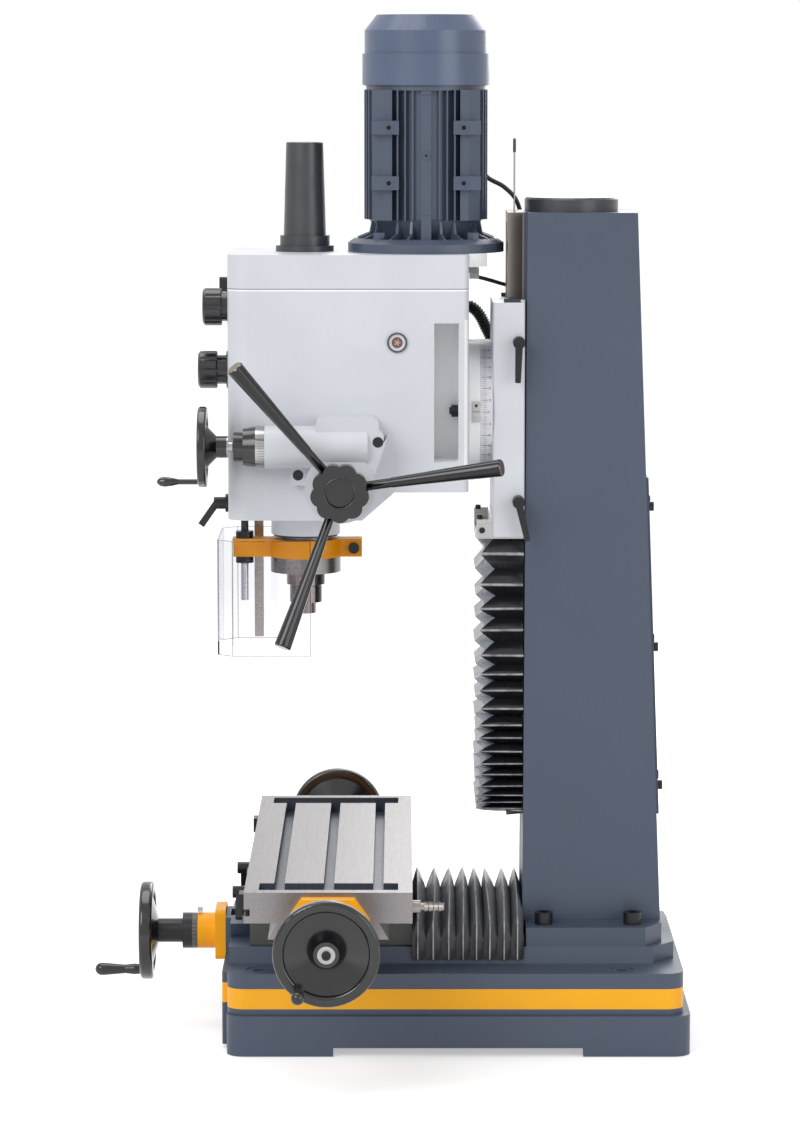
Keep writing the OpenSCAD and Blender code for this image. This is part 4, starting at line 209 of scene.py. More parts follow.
def tinted(tree, value, colour):
    """Colour multiplied by a grey value."""
    mix = tree.nodes.new("ShaderNodeVectorMath")
    mix.operation = "SCALE"
    tree.links.new(colour, mix.inputs[0])
    tree.links.new(value, mix.inputs["Scale"])
    return mix.outputs["Vector"]


def bumped(tree, height, depth):
    """Normal of a bump of that depth in metres."""
    bump = tree.nodes.new("ShaderNodeBump")
    bump.inputs["Distance"].default_value = depth
    tree.links.new(height, bump.inputs["Height"])
    return bump.outputs["Normal"]


print("noise is read on Object coordinates, in metres")

# %% [markdown]
# Three effects return in many finishes: the orange peel and slight mottling of enamel, the
# fine lines that grinding or turning leaves in steel, and the small grain of moulded
# plastic. Each is a node group with named inputs, so that it is built once and every
# finish gives it its own values. The shader itself stays in each material.

# %% Enamel, ground lines and moulded grain
def surface_effect(name, stretch, coarse, fine, depth, shade, gloss_shift, by_grain=False):
    """Node group that varies a colour and a roughness and gives a bump.

    Coarse noise scales the colour by 1 - shade to 1 + shade, and fine noise is the height
    of the bump. The roughness shifts by up to gloss_shift with the coarse noise, or with
    the fine one if by_grain is set.
    """
    tree = bpy.data.node_groups.new(name, "ShaderNodeTree")
    for label, kind, value in (("Colour", "NodeSocketColor", (0.5, 0.5, 0.5, 1)),
                               ("Roughness", "NodeSocketFloat", 0.4)):
        tree.interface.new_socket(label, in_out="INPUT", socket_type=kind).default_value = value
    for label, kind in (("Colour", "NodeSocketColor"), ("Roughness", "NodeSocketFloat"),
                        ("Normal", "NodeSocketVector")):
        tree.interface.new_socket(label, in_out="OUTPUT", socket_type=kind)
    given = tree.nodes.new("NodeGroupInput").outputs
    result = tree.nodes.new("NodeGroupOutput").inputs
    blotch = stretched_noise(tree, stretch, coarse)
    grain = stretched_noise(tree, stretch, fine)
    tree.links.new(tinted(tree, spread(tree, blotch, 1.0 - shade, 1.0 + shade),
                          given["Colour"]), result["Colour"])
    shift = spread(tree, grain if by_grain else blotch, -gloss_shift, gloss_shift)
    tree.links.new(maths(tree, "ADD", given["Roughness"], shift), result["Roughness"])
    tree.links.new(bumped(tree, grain, depth), result["Normal"])
    return tree


enamel = surface_effect("sprayed_enamel", (1, 1, 1), 9.0, 420.0, 0.00012, 0.035, 0.05)
ground_x = surface_effect("ground_along_x", (1, 40, 40), 14.0, 60.0, 0.00003, 0.10, 0.07, True)
turned = surface_effect("turned_steel", (1, 1, 8), 40.0, 300.0, 0.00003, 0.08, 0.06, True)
moulded = surface_effect("moulded_grain", (1, 1, 1), 25.0, 900.0, 0.00006, 0.08, 0.06)
print([g.name for g in bpy.data.node_groups])

# %% [markdown]
# ## Finishes
# Cast parts are filled and sprayed, so their gloss is low and even. Handwheels and grips
# are polished plastic, bolts are blackened, and the table and quill are bare steel. Each
# finish is one Principled shader whose colour, roughness and normal come from an effect,
# so that two finishes differ only in the values on their own line. Those without a name
# here are found by their Blender name when the parts are dressed.

# %% Materials
def linear(code):
    """Linear colour of a hex code such as 54606B."""
    parts = [int(code[i:i + 2], 16) / 255 for i in (0, 2, 4)]
    return tuple(c / 12.92 if c <= 0.04045 else ((c + 0.055) / 1.055) ** 2.4
                 for c in parts) + (1.0,)


def finish(name, effect, code, roughness, metallic=0.0, coat=0.0, specular=0.5):
    """Material with a Principled shader fed by an effect group."""
    material = bpy.data.materials.new(name)
    material.use_nodes = True
    tree = material.node_tree
    shader = tree.nodes["Principled BSDF"]
    group = tree.nodes.new("ShaderNodeGroup")
    group.node_tree = effect
    group.name = "effect"
    group.inputs["Colour"].default_value = linear(code)
    group.inputs["Roughness"].default_value = roughness
    tree.links.new(group.outputs["Colour"], shader.inputs["Base Color"])
    tree.links.new(group.outputs["Roughness"], shader.inputs["Roughness"])
    tree.links.new(group.outputs["Normal"], shader.inputs["Normal"])
    shader.inputs["Metallic"].default_value = metallic
    shader.inputs["Coat Weight"].default_value = coat
    shader.inputs["Coat Roughness"].default_value = 0.12
    shader.inputs["Specular IOR Level"].default_value = specular
    return material


grey_enamel = finish("grey_enamel", enamel, "465062", 0.42)
finish("motor_enamel", enamel, "4A5466", 0.36)
finish("fan_enamel", enamel, "53607A", 0.30)
white_enamel = finish("white_enamel", enamel, "D3D6DC", 0.36)
yellow_enamel = finish("yellow_enamel", enamel, "FFB008", 0.36, 0.0, 0.0, 0.3)
finish("saddle_enamel", enamel, "3D4038", 0.40)
table_steel = finish("table_steel", ground_x, "8F8B8C", 0.34, 0.85)
bright_steel = finish("bright_steel", turned, "98928E", 0.24, 1.0)
finish("dull_steel", turned, "7C7A79", 0.40, 0.9)
black_steel = finish("black_steel", moulded, "1B1C20", 0.34, 0.3)
black_gloss = finish("black_gloss", moulded, "131417", 0.16, 0.0, 0.35)
finish("black_grip", moulded, "17181B", 0.24, 0.0, 0.2)
black_satin = finish("black_satin", moulded, "25272B", 0.42)
cap_plastic = finish("cap_plastic", moulded, "3A3D42", 0.34)
label_satin = finish("label_satin", moulded, "2B2E33", 0.30)
cable_rubber = finish("cable_rubber", moulded, "191A1D", 0.38)
finish("bronze", turned, "B98A4A", 0.32, 0.95)
quill_steel = finish("quill_steel", turned, "7F7A79", 0.28, 1.0)
black_lacquer = finish("black_lacquer", moulded, "0C0D14", 0.10, 0.0, 0.3, 0.35)
scale_alloy = finish("scale_alloy", turned, "D2D1D8", 0.45, 0.25)
zinc = finish("zinc_plate", turned, "B4B3B2", 0.32, 0.6)
print(len(bpy.data.materials), "finishes")

# %% [markdown]
# ## Finishes with a place of their own
# Some paint changes where no part ends: the yellow band round the base, the bare iron of
# the column's dovetail and the dark joint under the lid. They could be painted on an
# unwrapped picture, but a mask keeps a sharp edge at any distance. It is 1 inside a place
# and 0 outside it, and is written here as a function of the surface's x, y and z, so that
# masks can be combined before any node is made.

# %% Masks by place
X, Y, Z = range(3)


def between(axis, low, high):
    """Mask of the places between two values on an axis."""
    return lambda tree, *place: maths(tree, "COMPARE", place[axis], (low + high) / 2,
                                      (high - low) / 2)


def below(axis, limit):
    """Mask of the places below a value on an axis."""
    return lambda tree, *place: maths(tree, "LESS_THAN", place[axis], limit)


def above(axis, limit):
    """Mask of the places above a value on an axis."""
    return lambda tree, *place: maths(tree, "GREATER_THAN", place[axis], limit)


def outside(axis, centre, distance):
    """Mask of the places farther than a distance from a centre on an axis."""
    return lambda tree, *place: maths(tree, "GREATER_THAN", maths(tree, "ABSOLUTE", maths(
        tree, "SUBTRACT", place[axis], centre)), distance)


def combined(operation, masks):
    """Mask made of several by one Math operation."""
    def mask(tree, *place):
        result = masks[0](tree, *place)
        for other in masks[1:]:
            result = maths(tree, operation, result, other(tree, *place))
        return result
    return mask


def every(*masks):
    """Mask of the places inside all of the masks: their product."""
    return combined("MULTIPLY", masks)


def either(*masks):
    """Mask of the places inside any of the masks: their greatest value."""
    return combined("MAXIMUM", masks)


print("masks read x, y and z as numbers", X, Y, "and", Z)

# %% [markdown]
# A finish with masks is a copy of the plain one, with other colours laid over its own. A
# mask can change how metallic the place is as well, where paint ends and iron begins.

# %% Paint laid on by masks
def split_place(tree):
    """The x, y and z of the surface, in metres."""
    place = tree.nodes.new("ShaderNodeTexCoord")
    split = tree.nodes.new("ShaderNodeSeparateXYZ")
    tree.links.new(place.outputs["Object"], split.inputs[0])
    return [split.outputs[axis] for axis in "XYZ"]


def layered(tree, mask, under, over):
    """Colour of under where the mask is 0 and of over where it is 1."""
    mix = tree.nodes.new("ShaderNodeMix")
    mix.data_type = "RGBA"
    tree.links.new(mask, mix.inputs["Factor"])
    for socket, colour in ((mix.inputs["A"], under), (mix.inputs["B"], over)):
        if isinstance(colour, tuple):
            socket.default_value = colour
        else:
            tree.links.new(colour, socket)
    return mix.outputs["Result"]


def variant(source, name):
    """Copy of a finish under a name of its own."""
    material = source.copy()
    material.name = name
    return material


def paint(material, base_code, layers):
    """Give a finish a base colour, and lay other colours over it by masks.

    Every layer is (mask, colour code, metallic), with None to keep the metallic value.
    """
    tree = material.node_tree
    place = split_place(tree)
    shader = tree.nodes["Principled BSDF"]
    colour, metal = linear(base_code), shader.inputs["Metallic"].default_value
    for mask_of, code, metallic in layers:
        mask = mask_of(tree, *place)
        colour = layered(tree, mask, colour, linear(code))
        if metallic is not None:
            kept = maths(tree, "MULTIPLY", maths(tree, "SUBTRACT", 1.0, mask), metal)
            metal = maths(tree, "ADD", maths(tree, "MULTIPLY", mask, metallic), kept)
    tree.links.new(colour, tree.nodes["effect"].inputs["Colour"])
    if not isinstance(metal, float):
        tree.links.new(metal, shader.inputs["Metallic"])


print("a layer is a mask, a colour code and a metallic value")

# %% [markdown]
# The yellow band is sprayed on the outer walls of the base and round its rounded corners.
# It has no thickness to speak of, so it is a change of colour and not a strip of its own.

# %% Band on the base
band_low, band_high = 0.069, 0.099
wall_depth, corner_depth = 0.0115, 0.036
base_lo, base_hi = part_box("base_casting")
base_middle_y, base_reach_y = (base_lo.y + base_hi.y) / 2, (base_hi.y - base_lo.y) / 2
outer_walls = either(
    outside(X, 0.0, base_hi.x - wall_depth),
    outside(Y, base_middle_y, base_reach_y - wall_depth),
    every(outside(X, 0.0, base_hi.x - corner_depth),
          outside(Y, base_middle_y, base_reach_y - corner_depth)))
paint(variant(grey_enamel, "base_enamel"), "465062", [
    (every(between(Z, band_low, band_high), outer_walls), "FFB400", None)])
print("band from", band_low, "to", band_high, "m")

# %% [markdown]
# The head slides on the column's dovetail, so this is scraped bare while the rest of the
# casting is enamelled. It is the part of the column in front of one plane.

# %% Bare dovetail on the column
dovetail_back_y = 0.1236
paint(variant(grey_enamel, "column_enamel"), "465062", [
    (below(Y, dovetail_back_y), "857D77", 0.7)])
print("bare in front of y", dovetail_back_y, "m")

# %% [markdown]
# The head has a dark joint under its lid, with a pale lip below it. The walls inside its side
# windows and its rear flange are painted paler than its flat sides, a painted highlight where more
# light falls on them.

# %% Lid joint and windows of the head
joint_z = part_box("head_lid")[0].z
joint_low, joint_high, lip_low = joint_z - 0.0007, joint_z + 0.0009, joint_z - 0.0030
window_half, window_y, window_z = 0.1385, (-0.012, 0.040), (0.860, 1.075)
flange_front_y = 0.0435
# The pale layer is the lip below the joint, and a painted highlight on the window walls and the
# rear flange.
paint(variant(white_enamel, "head_enamel"), "D3D6DC", [
    (either(between(Z, lip_low, joint_low),
            every(between(X, -window_half, window_half), between(Y, *window_y),
                  between(Z, *window_z)),
            above(Y, flange_front_y)), "FAFBFD", None),
    (between(Z, joint_low, joint_high), "8A8E96", None)])
print("lid joint at", round(joint_z, 4), "m")

# %% [markdown]
# The guard is bent from clear acrylic. It looks darker at its cut edges, at the fold and across
# its front panel, where the eye looks along the sheet. The glass here bends light less than real
# acrylic does, so that what stands behind it shows clearly, and a mask on the place paints that
# darkening on the edges as painted shade.

# %% Clear acrylic
acrylic = bpy.data.materials.new("clear_acrylic")
acrylic.use_nodes = True
tree = acrylic.node_tree
shader = tree.nodes["Principled BSDF"]
shader.inputs["Transmission Weight"].default_value = 1.0
shader.inputs["IOR"].default_value = 1.12
tree.links.new(spread(tree, stretched_noise(tree, (1, 1, 1), 12.0), 0.0, 0.03),
               shader.inputs["Roughness"])
guard_lo, guard_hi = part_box("guard")
panel_depth, fold_low, fold_high = 0.0028, 0.0228, 0.0238
rear_edge, rim = 0.0012, 0.0008
edges = either(
    below(Y, guard_lo.y + panel_depth),
    between(Y, guard_lo.y + fold_low, guard_lo.y + fold_high),
    above(Y, guard_hi.y - rear_edge),
    outside(Z, (guard_lo.z + guard_hi.z) / 2, (guard_hi.z - guard_lo.z) / 2 - rim))
# The edge colour is painted shade, standing in for how the sheet darkens where the eye looks along
# it.
sheet_tint, painted_edge_shade = (0.90, 0.90, 0.92, 1), (0.30, 0.31, 0.36, 1)
tree.links.new(layered(tree, edges(tree, *split_place(tree)), sheet_tint, painted_edge_shade),
               shader.inputs["Base Color"])
print("guard tinted at its edges")

# %% [markdown]
# The sight glass has a dark rim and a pale ring round brown oil, with a lighter star in
# the middle. These could be thin discs, but masks of the distance from the middle of the
# glass and of the angle round it give them without a single new face.

# %% Sight glass
def polar(tree, place, axes, centre):
    """Distance sqrt(a a + b b) and angle atan2(b, a) about a centre, on two axes."""
    a, b = (maths(tree, "SUBTRACT", place[axis], c) for axis, c in zip(axes, centre))
    squares = maths(tree, "ADD", maths(tree, "MULTIPLY", a, a), maths(tree, "MULTIPLY", b, b))
    return maths(tree, "SQRT", squares), maths(tree, "ARCTAN2", b, a)


def beyond(axes, centre, radius):
    """Mask of the places farther than a radius from a centre, on two axes."""
    return lambda tree, *place: maths(tree, "GREATER_THAN", polar(
        tree, place, axes, centre)[0], radius)


glass_lo, glass_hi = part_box("sight_glass")
glass_centre = (glass_lo.y + glass_hi.y) / 2, (glass_lo.z + glass_hi.z) / 2
glass_radius = (glass_hi.y - glass_lo.y) / 2


def star(tree, *place):
    """Mask of a star of five lobes: distance < radius * (0.24 + 0.10 cos(5 angle))."""
    distance, turn = polar(tree, place, (Y, Z), glass_centre)
    lobes = maths(tree, "COSINE", maths(tree, "MULTIPLY", turn, 5.0))
    reach = maths(tree, "ADD", maths(tree, "MULTIPLY", lobes, 0.10 * glass_radius),
                  0.24 * glass_radius)
    return maths(tree, "LESS_THAN", distance, reach)


paint(finish("oil_glass", moulded, "5B3428", 0.08, 0.0, 1.0), "5B3428", [
    (star, "B98A6E", None),
    (beyond((Y, Z), glass_centre, 0.55 * glass_radius), "C9CCD2", None),
    (beyond((Y, Z), glass_centre, 0.80 * glass_radius), "2A2C30", None)])
print("sight glass of radius", round(glass_radius, 4), "m")

# %% [markdown]
# The depth rod is blackened above its lower nut, and a screw shows as a black disc in the
# end of the yellow clamp ring.

# %% Depth rod and clamp ring
lower_nut_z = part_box("quill_clamp")[0].z - 0.011
paint(variant(bright_steel, "depth_steel"), "B9B9BD", [
    (above(Z, lower_nut_z), "1B1C20", 0.3)])


def clamp_screw(tree, *place):
    """Mask of the end of the screw in the clamp ring, a disc about X."""
    end_centre, end_radius = (-0.128, 0.7265), 0.0081
    return maths(tree, "LESS_THAN", polar(tree, place, (Y, Z), end_centre)[0], end_radius)


paint(variant(yellow_enamel, "clamp_enamel"), "DC8C04", [(clamp_screw, "17181B", None)])
print("depth rod black above", round(lower_nut_z, 4), "m")

# %% [markdown]
# Dials are engraved on a dividing head, which turns them by even steps. The mask does the
# same: it scales the angle to steps and keeps a share of each. The feed wheel has a bright
# hub and a bright ring with 50 lines, and the cross feed's dial has 80.

# %% Graduated feed wheel and dial
def ticks(axes, centre, count, share, axis, low, high):
    """Mask of count lines round an axis, each a share of a step wide, from low to high."""
    def lines(tree, *place):
        turn = polar(tree, place, axes, centre)[1]
        steps = maths(tree, "MULTIPLY", turn, count / (2 * math.pi))
        return maths(tree, "LESS_THAN", maths(tree, "PINGPONG", steps, 0.5), share / 2)
    return every(lines, between(axis, low, high))


wheel_axis, dial_axis = (0.1715, 0.892), (0.0, 0.140)
hub_y, ring_y, ring_tick_y = (-0.3110, -0.3030), (-0.2692, -0.2562), (-0.2650, -0.2562)
dial_tick_y = (-0.3735, -0.3663)
paint(variant(black_gloss, "feed_wheel_gloss"), "131417", [
    (between(Y, *hub_y), "A9A8A9", 0.8), (between(Y, *ring_y), "A9A8A9", 0.8),
    (ticks((X, Z), wheel_axis, 50, 0.22, Y, *ring_tick_y), "77777A", 0.0)])
paint(variant(black_steel, "dial_steel"), "1B1C20", [
    (ticks((X, Z), dial_axis, 80, 0.20, Y, *dial_tick_y), "B9B9BD", 0.0)])
print("feed wheel and dial graduated")

# %% [markdown]
# The swivel ring is a pale alloy, engraved with a line every two degrees and a longer one
# every ten.

# %% Graduated swivel ring
swivel_axis = (0.0, 0.937)
short_tick_y, long_tick_y = (0.0640, 0.0685), (0.0625, 0.0705)
paint(variant(scale_alloy, "swivel_alloy"), "D2D1D8", [
    (ticks((X, Z), swivel_axis, 180, 0.16, Y, *short_tick_y), "5A5A60", 0.0),
    (ticks((X, Z), swivel_axis, 36, 0.05, Y, *long_tick_y), "3A3A40", 0.0)])
print("swivel ring graduated about z", swivel_axis[1], "m")

# %% [markdown]
# The capstan's arms are lacquered, and their end faces show bare metal.
# The arms lean away from the head, so the mask measures along the lean.

# %% Worn ends of the capstan's arms
arm_lean = math.radians(17)
capstan_x, capstan_centre, arm_length = 0.2173, (-0.1455, 0.834), 0.2462


def arm_ends(tree, x, y, z):
    """Mask of the arms' end faces: distance cos(lean) + (x - capstan_x) sin(lean) > length."""
    out = polar(tree, (x, y, z), (Y, Z), capstan_centre)[0]
    along = maths(tree, "ADD", maths(tree, "MULTIPLY", out, math.cos(arm_lean)), maths(
        tree, "MULTIPLY", maths(tree, "SUBTRACT", x, capstan_x), math.sin(arm_lean)))
    return maths(tree, "GREATER_THAN", along, arm_length)


paint(variant(black_lacquer, "arm_lacquer"), "0C0D14", [(arm_ends, "6E6252", 0.5)])
print("arms worn beyond", arm_length, "m")

# %% [markdown]
# The rear of the spindle nose is painted dark as painted shade, and the floors of the table's
# slots and troughs are painted darker than its ground top, a painted shade in the recesses. Both
# are bare steel with a mask.

# %% Painted shade on the spindle and the table
socket_y, nose_z = -0.1862, (0.60, 0.6897)
# The rear of the nose is painted near black: painted shade.
paint(variant(quill_steel, "spindle_steel"), "857B7A", [
    (every(above(Y, socket_y), between(Z, *nose_z)), "232326", 0.4)])
table_lo, table_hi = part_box("table")
slot_floor_z, top_skin, table_rim = 0.2420, 0.0008, 0.0015
slot_shade_mask = every(between(Z, slot_floor_z, table_hi.z - top_skin),
                 between(X, table_rim - table_hi.x, table_hi.x - table_rim),
                 between(Y, table_lo.y + table_rim, table_hi.y - table_rim))
# The slot floors are painted darker: painted shade in the recesses.
paint(variant(table_steel, "slotted_steel"), "8F8B8C", [(slot_shade_mask, "555A66", 0.6)])
print(len(bpy.data.materials), "finishes with those marked by place")

# %% [markdown]
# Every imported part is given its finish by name, and the last line names any part left bare.

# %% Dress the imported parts
dressing = {
    "base_enamel": "base_casting",
    "grey_enamel": "column_back_cover",
    "column_enamel": "column_casting",
    "motor_enamel": "motor_housing",
    "fan_enamel": "fan_cover",
    "white_enamel": "slide_casting feed_housing",
    "head_enamel": "head_casting head_lid",
    "yellow_enamel": "y_feed_bracket table_brackets",
    "clamp_enamel": "quill_clamp",
    "saddle_enamel": "saddle_casting",
    "slotted_steel": "table",
    "bright_steel": "drain_nipple guard_bar x_dials",
    "quill_steel": "quill",
    "spindle_steel": "spindle",
    "depth_steel": "depth_rod",
    "swivel_alloy": "swivel_scale",
    "dull_steel": "saddle_gibs y_screw x_screw lift_screw gear_shaft drive_sleeve "
                  "motor_rotor",
    "dial_steel": "y_dial",
    "black_steel": "column_screws swivel_bolts table_stops saddle_lock_left "
                   "saddle_lock_right slide_lock_upper slide_lock_lower quill_lock lift_crank",
    "black_gloss": "y_handwheel x_handwheels clutch_knob",
    "feed_wheel_gloss": "fine_feed_wheel",
    "arm_lacquer": "capstan",
    "black_grip": "y_grip x_grip_left x_grip_right speed_knob_upper speed_knob_lower",
    "black_satin": "vertical_bellows front_bellows control_panel",
    "cable_rubber": "motor_leads conduit",
    "cap_plastic": "drawbar_cap column_cap",
    "bronze": "feed_nuts worm_wheel",
    "zinc_plate": "bellows_bracket",
    "clear_acrylic": "guard",
    "oil_glass": "sight_glass",
}
undressed = set(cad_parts)
for material_name, nodes in dressing.items():
    for node in nodes.split():
        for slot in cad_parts[node].material_slots:
            slot.material = bpy.data.materials[material_name]
        undressed.discard(node)
print("parts without a finish:", sorted(undressed))

# %% [markdown]
# ## Shapes from numbers
# Every new piece is a grid of points worked out with numpy: the rows follow one parameter
# and the columns the other, and each cell between neighbours is a face. Blender's own
# cylinders and curves could be joined and bent by hand instead, but a formula puts every
# ring where it is wanted and can be read again later. A tube is a grid of circles carried
# along a path, and a turned piece is a profile carried round an axis.

# %% Grid, tube and turned shapes
def grid_faces(rows, columns, around=False):
    """Corner numbers of the cells of a grid, closed round the columns if asked."""
    r = np.arange(rows - 1)[:, None]
    c = np.arange(columns if around else columns - 1)[None, :]
    n = (c + 1) % columns
    corners = (r * columns + c, r * columns + n, (r + 1) * columns + n, (r + 1) * columns + c)
    return np.stack(np.broadcast_arrays(*corners), -1).reshape(-1, 4).tolist()


def skin(path, radius, side, up, sides):
    """Points path + radius * (cos a * side + sin a * up), with a fan closing each end."""
    a = np.linspace(0, 2 * np.pi, sides, endpoint=False)[None, :, None]
    rings = path[:, None] + radius[:, None, None] * (np.cos(a) * side + np.sin(a) * up)
    points = np.vstack([rings.reshape(-1, 3), path[:1], path[-1:]])
    faces = grid_faces(len(path), sides, around=True)
    last, centre = (len(path) - 1) * sides, len(path) * sides
    j = np.arange(sides)
    k = (j + 1) % sides
    faces += np.stack([k, j, np.full(sides, centre)], -1).tolist()
    faces += np.stack([last + j, last + k, np.full(sides, centre + 1)], -1).tolist()
    return points, faces


def tube(path, radius, sides):
    """Circles along a path, square to it: side = ahead x X, and up = ahead x side.

    Where the path runs along X, side is Y instead.
    """
    ahead = np.gradient(path, axis=0)
    ahead /= np.linalg.norm(ahead, axis=1, keepdims=True)
    side = np.cross(ahead, (1.0, 0.0, 0.0))
    side[np.linalg.norm(side, axis=1) < 1e-6] = (0, 1, 0)
    side /= np.linalg.norm(side, axis=1, keepdims=True)
    up = np.cross(ahead, side)
    return skin(path, np.broadcast_to(radius, len(path)), side[:, None], up[:, None], sides)


def turned_piece(profile, centre, axis, sides):
    """Profile (distance along the axis, radius) turned about an axis through a centre."""
    profile = np.asarray(profile, float)
    axis = np.asarray(axis, float)
    path = np.asarray(centre, float) + profile[:, :1] * axis
    side = np.cross(axis, (1.0, 0.0, 0.0) if abs(axis[0]) < 0.9 else (0.0, 1.0, 0.0))
    side /= np.linalg.norm(side)
    return skin(path, profile[:, 1], side, np.cross(axis, side), sides)


print("a tube of 3 rings and 8 sides has", len(grid_faces(3, 8, around=True)), "faces")

# %% [markdown]
# Flat bars are plain boxes. Whatever its shapes, a piece becomes one object whose place is
# in its mesh, because the export puts every object at the origin. It rides on the body
# that carries it, so that it moves with that body's joint.

# %% Boxes and pieces
box_faces = [[3, 2, 1, 0], [4, 5, 6, 7], [0, 1, 5, 4], [1, 2, 6, 5], [2, 3, 7, 6], [3, 0, 4, 7]]


def box_piece(low, high):
    """Corners low + pick * (high - low) of a box, and its faces."""
    pick = np.array([[0, 0, 0], [1, 0, 0], [1, 1, 0], [0, 1, 0],
                     [0, 0, 1], [1, 0, 1], [1, 1, 1], [0, 1, 1]], float)
    return low + pick * (high - low), box_faces


def piece(name, shapes, material, body=None, smooth=True, bevel=0.0, edge_angle=35):
    """Object made of one or several shapes, with an optional bevel, riding on a body."""
    points, faces = [], []
    for p, f in shapes:
        start = sum(len(q) for q in points)
        points.append(np.asarray(p, float))
        faces += [[i + start for i in face] for face in f]
    mesh = bpy.data.meshes.new(name)
    mesh.from_pydata(np.vstack(points).tolist(), [], faces)
    mesh.polygons.foreach_set("use_smooth", [smooth] * len(mesh.polygons))
    if smooth:
        mesh.set_sharp_from_angle(angle=math.radians(edge_angle))
    mesh.materials.append(material)
    made = bpy.data.objects.new(name, mesh)
    scene.collection.objects.link(made)
    if bevel:
        edge = made.modifiers.new("edge", "BEVEL")
        edge.width, edge.segments, edge.limit_method = bevel, 2, "ANGLE"
    if body:
        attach(made, body)
    print(name, len(mesh.polygons), "faces")
    return made


print("a box has", len(box_faces), "faces")

# %% [markdown]
# ## Pleated way covers
# A way cover is one long strip of coated cloth, folded like a concertina over stiff ribs.
# A cloth simulation could fold it, but the ribs leave it only one way to fold. At each
# corner the fold turns inside out: where the side stands out the front is folded in, and
# small triangles join them. So the rings of the grid alternate between two outlines, and
# each facet between them swells a little, as cloth does.

# %% Concertina surface
cloth_rows, cloth_wall = 4, 0.0012


def concertina(rings, splits, swell):
    """Grid between successive rings of control points.

    Each span between two control points is cut into its number of splits, and each pair of
    rings into cloth_rows. The middle of a facet is pushed out along its own normal by
    swell * sin(pi u) * sin(pi v), where u and v run from 0 to 1 across the facet.
    """
    rings = np.asarray(rings, float)
    u = np.concatenate([i + np.arange(s) / s for i, s in enumerate(splits)] + [[len(splits)]])
    cell = np.minimum(u.astype(int), len(splits) - 1)
    part = (u - cell)[None, :, None]
    lines = rings[:, cell] * (1 - part) + rings[:, cell + 1] * part
    v = (np.arange(cloth_rows) / cloth_rows)[:, None, None]
    dome = np.sin(np.pi * part) * np.sin(np.pi * v)
    blocks = []
    for i in range(len(rings) - 1):
        flat = lines[i] * (1 - v) + lines[i + 1] * v
        across = np.gradient(lines[i] + lines[i + 1], axis=0)
        normal = np.cross(lines[i + 1] - lines[i], across)
        normal /= np.maximum(np.linalg.norm(normal, axis=1, keepdims=True), 1e-9)
        blocks.append(flat + normal * swell[i] * dome)
    return np.concatenate(blocks + [lines[-1:]])


def from_middle(grid):
    """Distance along the cloth of each column of a grid from the middle of the first row."""
    run = np.concatenate([[0], np.cumsum(np.linalg.norm(np.diff(grid[0], axis=0), axis=1))])
    return run - run[-1] / 2


def cloth_piece(name, grid, material):
    """Cloth object from a grid of points, with UV (distance from the middle, ring number)."""
    rows, columns = grid.shape[:2]
    mesh = bpy.data.meshes.new(name)
    faces = grid_faces(rows, columns)
    mesh.from_pydata(grid.reshape(-1, 3).tolist(), [], faces)
    layer = mesh.uv_layers.new(name="cloth")
    uv = np.stack(np.meshgrid(from_middle(grid), np.arange(rows) / cloth_rows),
                  -1).reshape(-1, 2)
    layer.data.foreach_set("uv", uv[np.array(faces).ravel()].ravel())
    mesh.materials.append(material)
    made = bpy.data.objects.new(name, mesh)
    scene.collection.objects.link(made)
    shell = made.modifiers.new("cloth", "SOLIDIFY")
    shell.thickness, shell.offset = cloth_wall, -1
    print(name, len(faces), "faces")
    return made


print(cloth_rows, "rows to a half fold, cloth of", cloth_wall, "m")

# %% [markdown]
# The cloth is black vinyl on a woven back. Its pressed crests are rubbed to grey and carry a
# painted highlight as thin lines, and the panel over the middle is painted paler than the glossy
# sides, a painted reflection of the bright room on the glossy vinyl.
# The crests are unevenly spaced and wave a little, so the finish reads the cover's own UV,
# which follows them: the first number is the distance from the cover's middle line, and
# the second is whole at every fold and odd at a crest.

# %% Vinyl cloth
def vinyl(name, code, reflection_code, panel_half, crest_wear_and_highlight_code, line_width, gloss):
    """Black cloth with a paler middle panel, whose crests are rubbed lighter.

    The rubbed crest line also carries a painted highlight, and the paler panel is a painted
    reflection; the line is line_width of a fold wide, and noise makes it and the panel uneven.
    """
    material = finish(name, moulded, code, gloss, 0.0, 0.15)
    tree = material.node_tree
    uv = tree.nodes.new("ShaderNodeUVMap")
    uv.uv_map = "cloth"
    split = tree.nodes.new("ShaderNodeSeparateXYZ")
    tree.links.new(uv.outputs["UV"], split.inputs[0])
    # This noise varies the painted reflection of the panel and the worn, painted highlight on the
    # crests.
    dust_and_sheen = stretched_noise(tree, (1, 1, 1), 60.0)
    panel = maths(tree, "MULTIPLY", spread(tree, dust_and_sheen, 0.8, 1.0), maths(
        tree, "LESS_THAN", maths(tree, "ABSOLUTE", split.outputs["X"]), panel_half))
    fold = maths(tree, "PINGPONG", split.outputs["Y"], 1.0)
    near = maths(tree, "DIVIDE", maths(tree, "SUBTRACT", fold, 1 - line_width), line_width)
    rubbed_and_lit = maths(tree, "MULTIPLY", near, spread(tree, dust_and_sheen, 0.5, 1.5))
    line = maths(tree, "MINIMUM", maths(tree, "MAXIMUM", rubbed_and_lit, 0.0), 1.0)
    cloth = layered(tree, panel, linear(code), linear(reflection_code))
    tree.links.new(layered(tree, line, cloth, linear(crest_wear_and_highlight_code)),
                   tree.nodes["effect"].inputs["Colour"])
    return material


print("vinyl reads the UV map called cloth")

# %% [markdown]
# The heights of the tall cover's crests were read from the photo: its folds are open at
# the top and pressed together at the foot. A valley lies midway between two crests.

